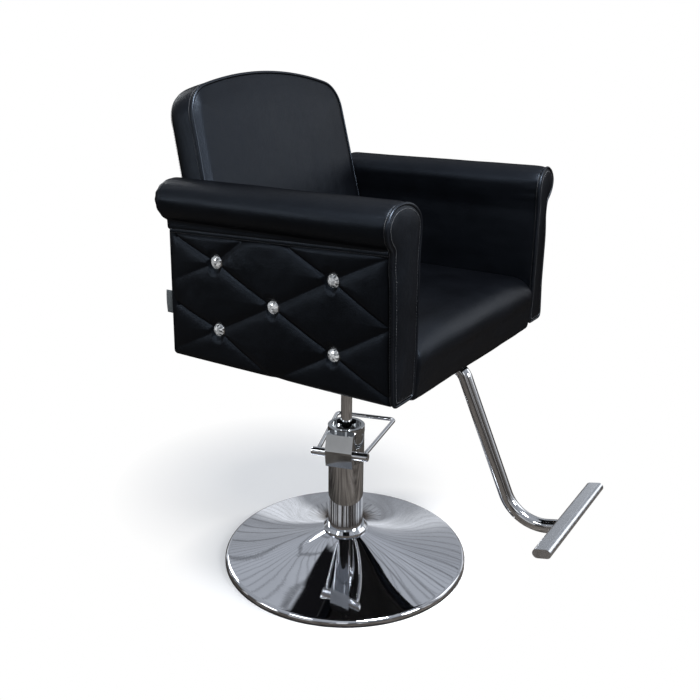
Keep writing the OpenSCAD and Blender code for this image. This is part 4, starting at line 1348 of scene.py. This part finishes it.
def build_tube():
    A = 24.27
    sa, ca = math.sin(math.radians(A)), math.cos(math.radians(A))
    run_z, run_back = 0.5225, -0.112
    knee = np.array([-0.4134, 0.2126])
    drop = np.array([-sa, -ca])
    rise = np.array([-math.cos(math.radians(15)), math.sin(math.radians(15))])
    shin = knee - drop * ((run_z - knee[1]) / ca)
    ra, rb = 0.036, 0.080
    ta = ra * math.tan(math.radians((90 - A) / 2))
    tb = rb * math.tan(math.radians((105 - A) / 2))
    pa = shin + np.array([ta, 0])
    pc = knee - drop * tb
    foot_end = 0.104
    path = [(run_back, run_z)]
    path += list(zip(np.linspace(run_back, pa[0], 12)[1:-1], [run_z] * 10))
    path += turn_pts((pa[0], run_z - ra), ra, 180, 180 + 90 - A, 24)
    leg0 = np.array(path[-1])
    leg1 = pc
    path += [tuple(leg0 + (leg1 - leg0) * k) for k in np.linspace(0, 1, 26)[1:-1]]
    path += turn_pts(pc + rb * np.array([-ca, sa]), rb, 270 - A, 165, 40)
    e0 = np.array(path[-1])
    e1 = knee + rise * (foot_end - 0.001)
    path += [tuple(e0 + (e1 - e0) * k) for k in np.linspace(0, 1, 8)[1:]]
    p = np.array(path)
    p3 = np.stack([np.zeros(len(p)), p[:, 0], p[:, 1]], 1)
    b = Build()
    t = np.gradient(p3, axis=0)
    t /= np.linalg.norm(t, axis=1)[:, None]
    u = np.array([1.0, 0, 0])
    k = 48
    a = np.arange(k) * math.tau / k
    v = np.cross(t, u)

    def rings(r):
        return p3[:, None] + r * (np.cos(a)[None, :, None] * u + np.sin(a)[None, :, None] * v[:, None])

    outer = rings(0.014)
    # the crossbar sits in a shallow saddle on top of the tube
    c = np.array([-0.5205, 0.2623])
    nn = np.array([math.sin(math.radians(15)), math.cos(math.radians(15))])
    tt = np.array([-nn[1], nn[0]])
    q = outer.reshape(-1, 3)
    rel = q[:, 1:] - c
    h = rel @ nn
    al = rel @ tt
    inside = (np.abs(al) < 0.0185) & (h > -0.0091)
    q[inside, 1:] -= ((h[inside] + 0.0091)[:, None]) * nn
    outer = q.reshape(outer.shape)
    inner = rings(0.012)
    b.grid(np.concatenate([outer, inner[::-1]]), wrap_u=True, wrap_v=True)
    o = b.obj("footrest_tube_chrome", CHROME_TUBE)
    recalc(o)
    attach(o, "seat")
    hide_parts("footrest_tube")

    # weld bead where tube and bar meet
    b = Build()
    for side in (-1,):
        ang = np.linspace(-62, 62, 40)
        pts = []
        for g_ in np.radians(ang):
            x = 0.0142 * math.sin(g_)
            base = c - nn * (0.0088 + 0.0142 * (1 - math.cos(g_)) * 0.55) + tt * side * 0.0135
            w = 0.00035 * math.sin(g_ * 40)
            pts.append((x, base[0] + w, base[1]))
        sweep(b, np.array(pts), 0.0019, k=8, up=(0, 0, 1))
    o = b.obj("footrest_weld", CHROME_BAR)
    recalc(o)
    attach(o, "seat")


build_tube()


def build_lever():
    az = math.radians(17.02)
    off, reach, w0, w1, bend = 0.050, 0.171, 0.052, 0.072, 0.010
    hdeg = math.degrees(math.atan2(w1 - w0, reach + off))
    h = math.radians(hdeg)
    t = bend * math.tan(math.radians((90 + hdeg) / 2))
    d = np.array([math.cos(h), math.sin(h)])
    a = np.array([-off, w0])
    corner = np.array([reach, w1])
    c1 = corner - t * d + bend * np.array([math.sin(h), -math.cos(h)])
    c2 = np.array([c1[0], -c1[1]])
    s0 = a + 0.0005 * d
    arc1 = turn_pts(c1, bend, hdeg, -90, 14)
    arc2 = turn_pts(c2, bend, -90, -180 - hdeg, 14)
    pts = [tuple(s0 + (np.array(arc1[0]) - s0) * k) for k in np.linspace(0, 1, 14)[:-1]] + arc1
    pts += [tuple(np.array(arc1[-1]) + (np.array(arc2[0]) - np.array(arc1[-1])) * k) for k in np.linspace(0, 1, 10)[1:-1]]
    e = np.array([s0[0], -s0[1]])
    pts += arc2 + [tuple(np.array(arc2[-1]) + (e - np.array(arc2[-1])) * k) for k in np.linspace(0, 1, 14)[1:]]
    p = np.array(pts)
    rot = np.array([[math.cos(az), -math.sin(az)], [math.sin(az), math.cos(az)]])
    q = p @ rot.T
    p3 = np.stack([q[:, 0], q[:, 1], np.full(len(q), 0.280)], 1)
    b = Build()
    sweep(b, p3, 0.00475, k=28, up=(0, 0, 1))
    o = b.obj("foot_lever_wire", CHROME)
    recalc(o)
    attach(o, "lever")
    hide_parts("foot_lever")


build_lever()


def build_dish():
    """The pressed dish as a fine turning, so its mirror is clean."""
    def z(r):
        t = (0.272 - r) / 0.226
        return 0.015 + 0.055 * (0.72 * t + 0.28 * t ** 3)

    outer = [(r, z(r)) for r in np.linspace(0.046, 0.272, 150)]
    rim = [(0.271 + 0.009 * math.cos(math.radians(a)), 0.006 + 0.009 * math.sin(math.radians(a))) for a in np.linspace(78, 0, 22)]
    inner = [(0.2775, 0.004)] + [(0.271 + 0.0065 * math.cos(math.radians(a)), 0.006 + 0.0065 * math.sin(math.radians(a)))
                                 for a in np.linspace(0, 84, 12)]
    under = [(r, z(r) - 0.0025) for r in np.linspace(0.2715, 0.046, 50)]
    prof = np.array(outer + rim + [(0.280, 0.004)] + inner + under)
    k = 360
    a = np.arange(k) * math.tau / k
    g = np.stack([prof[:, 0][:, None] * np.cos(a), prof[:, 0][:, None] * np.sin(a), np.repeat(prof[:, 1][:, None], k, 1)], -1)
    b = Build()
    b.grid(g, wrap_u=True, wrap_v=True)
    o = b.obj("base_dish_turned", CHROME_DISH)
    recalc(o)
    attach(o, "base")
    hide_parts("base_dish")


build_dish()

# ------------------------------------------------------------------ stage: floor, light, world


def build_stage():
    me = bpy.data.meshes.new("floor")
    s = 9.0
    me.from_pydata([(-s, -s, 0), (s, -s, 0), (s, s, 0), (-s, s, 0)], [], [(0, 1, 2, 3)])
    me.materials.append(floor_material())
    o = bpy.data.objects.new("floor", me)
    bpy.context.scene.collection.objects.link(o)


build_stage()


def area(name, loc, aim, size, power, color=(1, 1, 1), shape="RECTANGLE", size_y=None):
    d = bpy.data.lights.new(name, "AREA")
    d.energy = power
    d.shape = shape
    d.size = size
    d.size_y = size_y or size
    d.color = color
    o = bpy.data.objects.new(name, d)
    o.location = loc
    o.rotation_euler = (Vector(aim) - Vector(loc)).to_track_quat("-Z", "Y").to_euler()
    bpy.context.scene.collection.objects.link(o)
    return o


area("front_top", (-0.42, -1.30, 3.0), (0, -0.02, 0.4), 0.95, 116, (0.98, 0.99, 1.0), size_y=0.8)
area("right", (2.3, -1.9, 1.65), (0, -0.1, 0.7), 1.7, 9, (0.97, 0.985, 1.0), size_y=1.5)
area("front", (0.20, -2.75, 1.76), (0, 0, 0.85), 0.8, 27, (0.95, 0.975, 1.0), size_y=0.6)
area("left_high", (-2.1, 0.45, 2.45), (-0.2, 0, 0.7), 0.8, 12, (0.95, 0.98, 1.0), size_y=0.6)
area("left_low", (-2.6, 1.80, 1.30), (-0.2, 0, 0.8), 0.85, 11, (0.93, 0.97, 1.0), size_y=0.8)
area("rear", (0.9, 2.7, 1.9), (0, 0.1, 0.7), 0.9, 13, (0.95, 0.98, 1.0), size_y=0.8)
area("window", (-2.9, -1.75, 1.75), (0, 0, 0.4), 0.6, 1.3, (0.95, 0.98, 1.0), size_y=0.8)


def build_world():
    w = bpy.data.worlds.new("studio")
    bpy.context.scene.world = w
    w.use_nodes = True
    nt = w.node_tree
    for n in list(nt.nodes):
        nt.nodes.remove(n)
    tc = nt.nodes.new("ShaderNodeTexCoord")
    sep = nt.nodes.new("ShaderNodeSeparateXYZ")
    nt.links.new(tc.outputs["Generated"], sep.inputs[0])
    up = map_range(nt, sep.outputs[2], -0.1, 1.0, 0.0, 1.0)
    # a room in tones: a brown, dim side; a pale wall opposite; a blue-grey ceiling over both
    dim = ramp(nt, up, [(0.0, (0.10, 0.085, 0.075)), (0.12, (0.055, 0.047, 0.042)), (0.30, (0.070, 0.064, 0.060)),
                        (0.44, (0.26, 0.275, 0.30)), (0.62, (0.36, 0.385, 0.43)), (1.0, (0.46, 0.485, 0.53))])
    pale = ramp(nt, up, [(0.0, (0.12, 0.10, 0.09)), (0.10, (0.10, 0.09, 0.085)), (0.17, (0.32, 0.335, 0.36)),
                         (0.44, (0.38, 0.40, 0.435)), (0.62, (0.40, 0.425, 0.47)), (1.0, (0.46, 0.485, 0.53))])
    side = math_node(nt, "ADD", math_node(nt, "MULTIPLY", sep.outputs[0], 0.97),
                     math_node(nt, "MULTIPLY", sep.outputs[1], 0.10))
    sidef = map_range(nt, side, 0.05, 0.45, 0.0, 1.0)
    both = nt.nodes.new("ShaderNodeMixRGB")
    nt.links.new(sidef, both.inputs[0])
    nt.links.new(dim, both.inputs[1])
    nt.links.new(pale, both.inputs[2])
    # upright bands near eye height: door frames, mirrors, daylight
    sq = nt.nodes.new("ShaderNodeMapping")
    sq.inputs["Scale"].default_value = (1, 1, 0.12)
    sq.inputs["Location"].default_value = (3.1, 0.7, 0)
    nt.links.new(tc.outputs["Generated"], sq.inputs["Vector"])
    bands = noise_tex(nt, sq.outputs["Vector"], 5.5, 1.5, 0.5)
    bf = map_range(nt, bands, 0.50, 0.60, 0.0, 1.0)
    band_h = math_node(nt, "MULTIPLY", bf, map_range(nt, sep.outputs[2], 0.45, 0.30, 0.0, 1.0))
    band_h = math_node(nt, "MULTIPLY", band_h, map_range(nt, sep.outputs[2], -0.05, 0.08, 0.0, 1.0))
    lit = nt.nodes.new("ShaderNodeMixRGB")
    lit.blend_type = "ADD"
    nt.links.new(math_node(nt, "MULTIPLY", band_h, 0.55), lit.inputs[0])
    nt.links.new(both.outputs[0], lit.inputs[1])
    lit.inputs[2].default_value = (0.95, 0.97, 1.0, 1)
    # boards overhead: thin dark joints that bend where the dish mirrors them
    m = nt.nodes.new("ShaderNodeMapping")
    m.inputs["Rotation"].default_value = (0, 0, 0.55)
    nt.links.new(tc.outputs["Generated"], m.inputs["Vector"])
    flat = nt.nodes.new("ShaderNodeSeparateXYZ")
    nt.links.new(m.outputs["Vector"], flat.inputs[0])
    zc = math_node(nt, "MAXIMUM", flat.outputs[2], 0.12)
    pl = nt.nodes.new("ShaderNodeCombineXYZ")
    nt.links.new(math_node(nt, "DIVIDE", flat.outputs[0], zc), pl.inputs[0])
    nt.links.new(math_node(nt, "DIVIDE", flat.outputs[1], zc), pl.inputs[1])
    wave = nt.nodes.new("ShaderNodeTexWave")
    wave.wave_type = "BANDS"
    wave.bands_direction = "X"
    wave.inputs["Scale"].default_value = 2.6
    wave.inputs["Distortion"].default_value = 2.2
    wave.inputs["Detail"].default_value = 2.5
    wave.inputs["Detail Scale"].default_value = 0.8
    nt.links.new(pl.outputs[0], wave.inputs["Vector"])
    line = map_range(nt, wave.outputs["Fac"], 0.0, 0.09, 0.52, 1.0)
    grain = nt.nodes.new("ShaderNodeTexWave")
    grain.wave_type = "BANDS"
    grain.bands_direction = "DIAGONAL"
    grain.inputs["Scale"].default_value = 7.5
    grain.inputs["Distortion"].default_value = 5.5
    grain.inputs["Detail"].default_value = 1.5
    grain.inputs["Detail Scale"].default_value = 0.45
    nt.links.new(pl.outputs[0], grain.inputs["Vector"])
    line = math_node(nt, "MULTIPLY", line, map_range(nt, grain.outputs["Fac"], 0.0, 0.16, 0.62, 1.0))
    n = noise_tex(nt, pl.outputs[0], 1.1, 3.0, 0.55)
    mod = math_node(nt, "MULTIPLY", map_range(nt, n, 0.35, 0.65, 0.85, 1.12), line)
    mul = nt.nodes.new("ShaderNodeMixRGB")
    mul.blend_type = "MULTIPLY"
    mul.inputs[0].default_value = 1.0
    nt.links.new(lit.outputs[0], mul.inputs[1])
    nt.links.new(mod, mul.inputs[2])
    # a dark opening overhead, mirrored low in the front of the dish
    zp = math_node(nt, "MAXIMUM", sep.outputs[2], 0.12)
    ax = math_node(nt, "DIVIDE", sep.outputs[0], zp)
    ay = math_node(nt, "DIVIDE", sep.outputs[1], zp)
    hole = math_node(nt, "MULTIPLY", map_range(nt, ay, 0.565, 0.590, 1.0, 0.0), map_range(nt, ay, 0.36, 0.40, 0.0, 1.0))
    hole = math_node(nt, "MULTIPLY", hole, map_range(nt, ax, 0.26, 0.31, 0.0, 1.0))
    hole = math_node(nt, "MULTIPLY", hole, map_range(nt, ax, 0.56, 0.62, 1.0, 0.0))
    dark = nt.nodes.new("ShaderNodeMixRGB")
    nt.links.new(hole, dark.inputs[0])
    nt.links.new(mul.outputs[0], dark.inputs[1])
    dark.inputs[2].default_value = (0.006, 0.006, 0.007, 1)
    room = nt.nodes.new("ShaderNodeBackground")
    nt.links.new(dark.outputs[0], room.inputs[0])
    room.inputs[1].default_value = 1.0
    white = nt.nodes.new("ShaderNodeBackground")
    white.inputs[0].default_value = (1, 1, 1, 1)
    white.inputs[1].default_value = 1.0
    lp = nt.nodes.new("ShaderNodeLightPath")
    mix = nt.nodes.new("ShaderNodeMixShader")
    nt.links.new(lp.outputs["Is Camera Ray"], mix.inputs[0])
    nt.links.new(room.outputs[0], mix.inputs[1])
    nt.links.new(white.outputs[0], mix.inputs[2])
    out = nt.nodes.new("ShaderNodeOutputWorld")
    nt.links.new(mix.outputs[0], out.inputs[0])


build_world()
bpy.context.scene.view_settings.view_transform = "Standard"
bpy.context.scene.view_settings.look = "None"
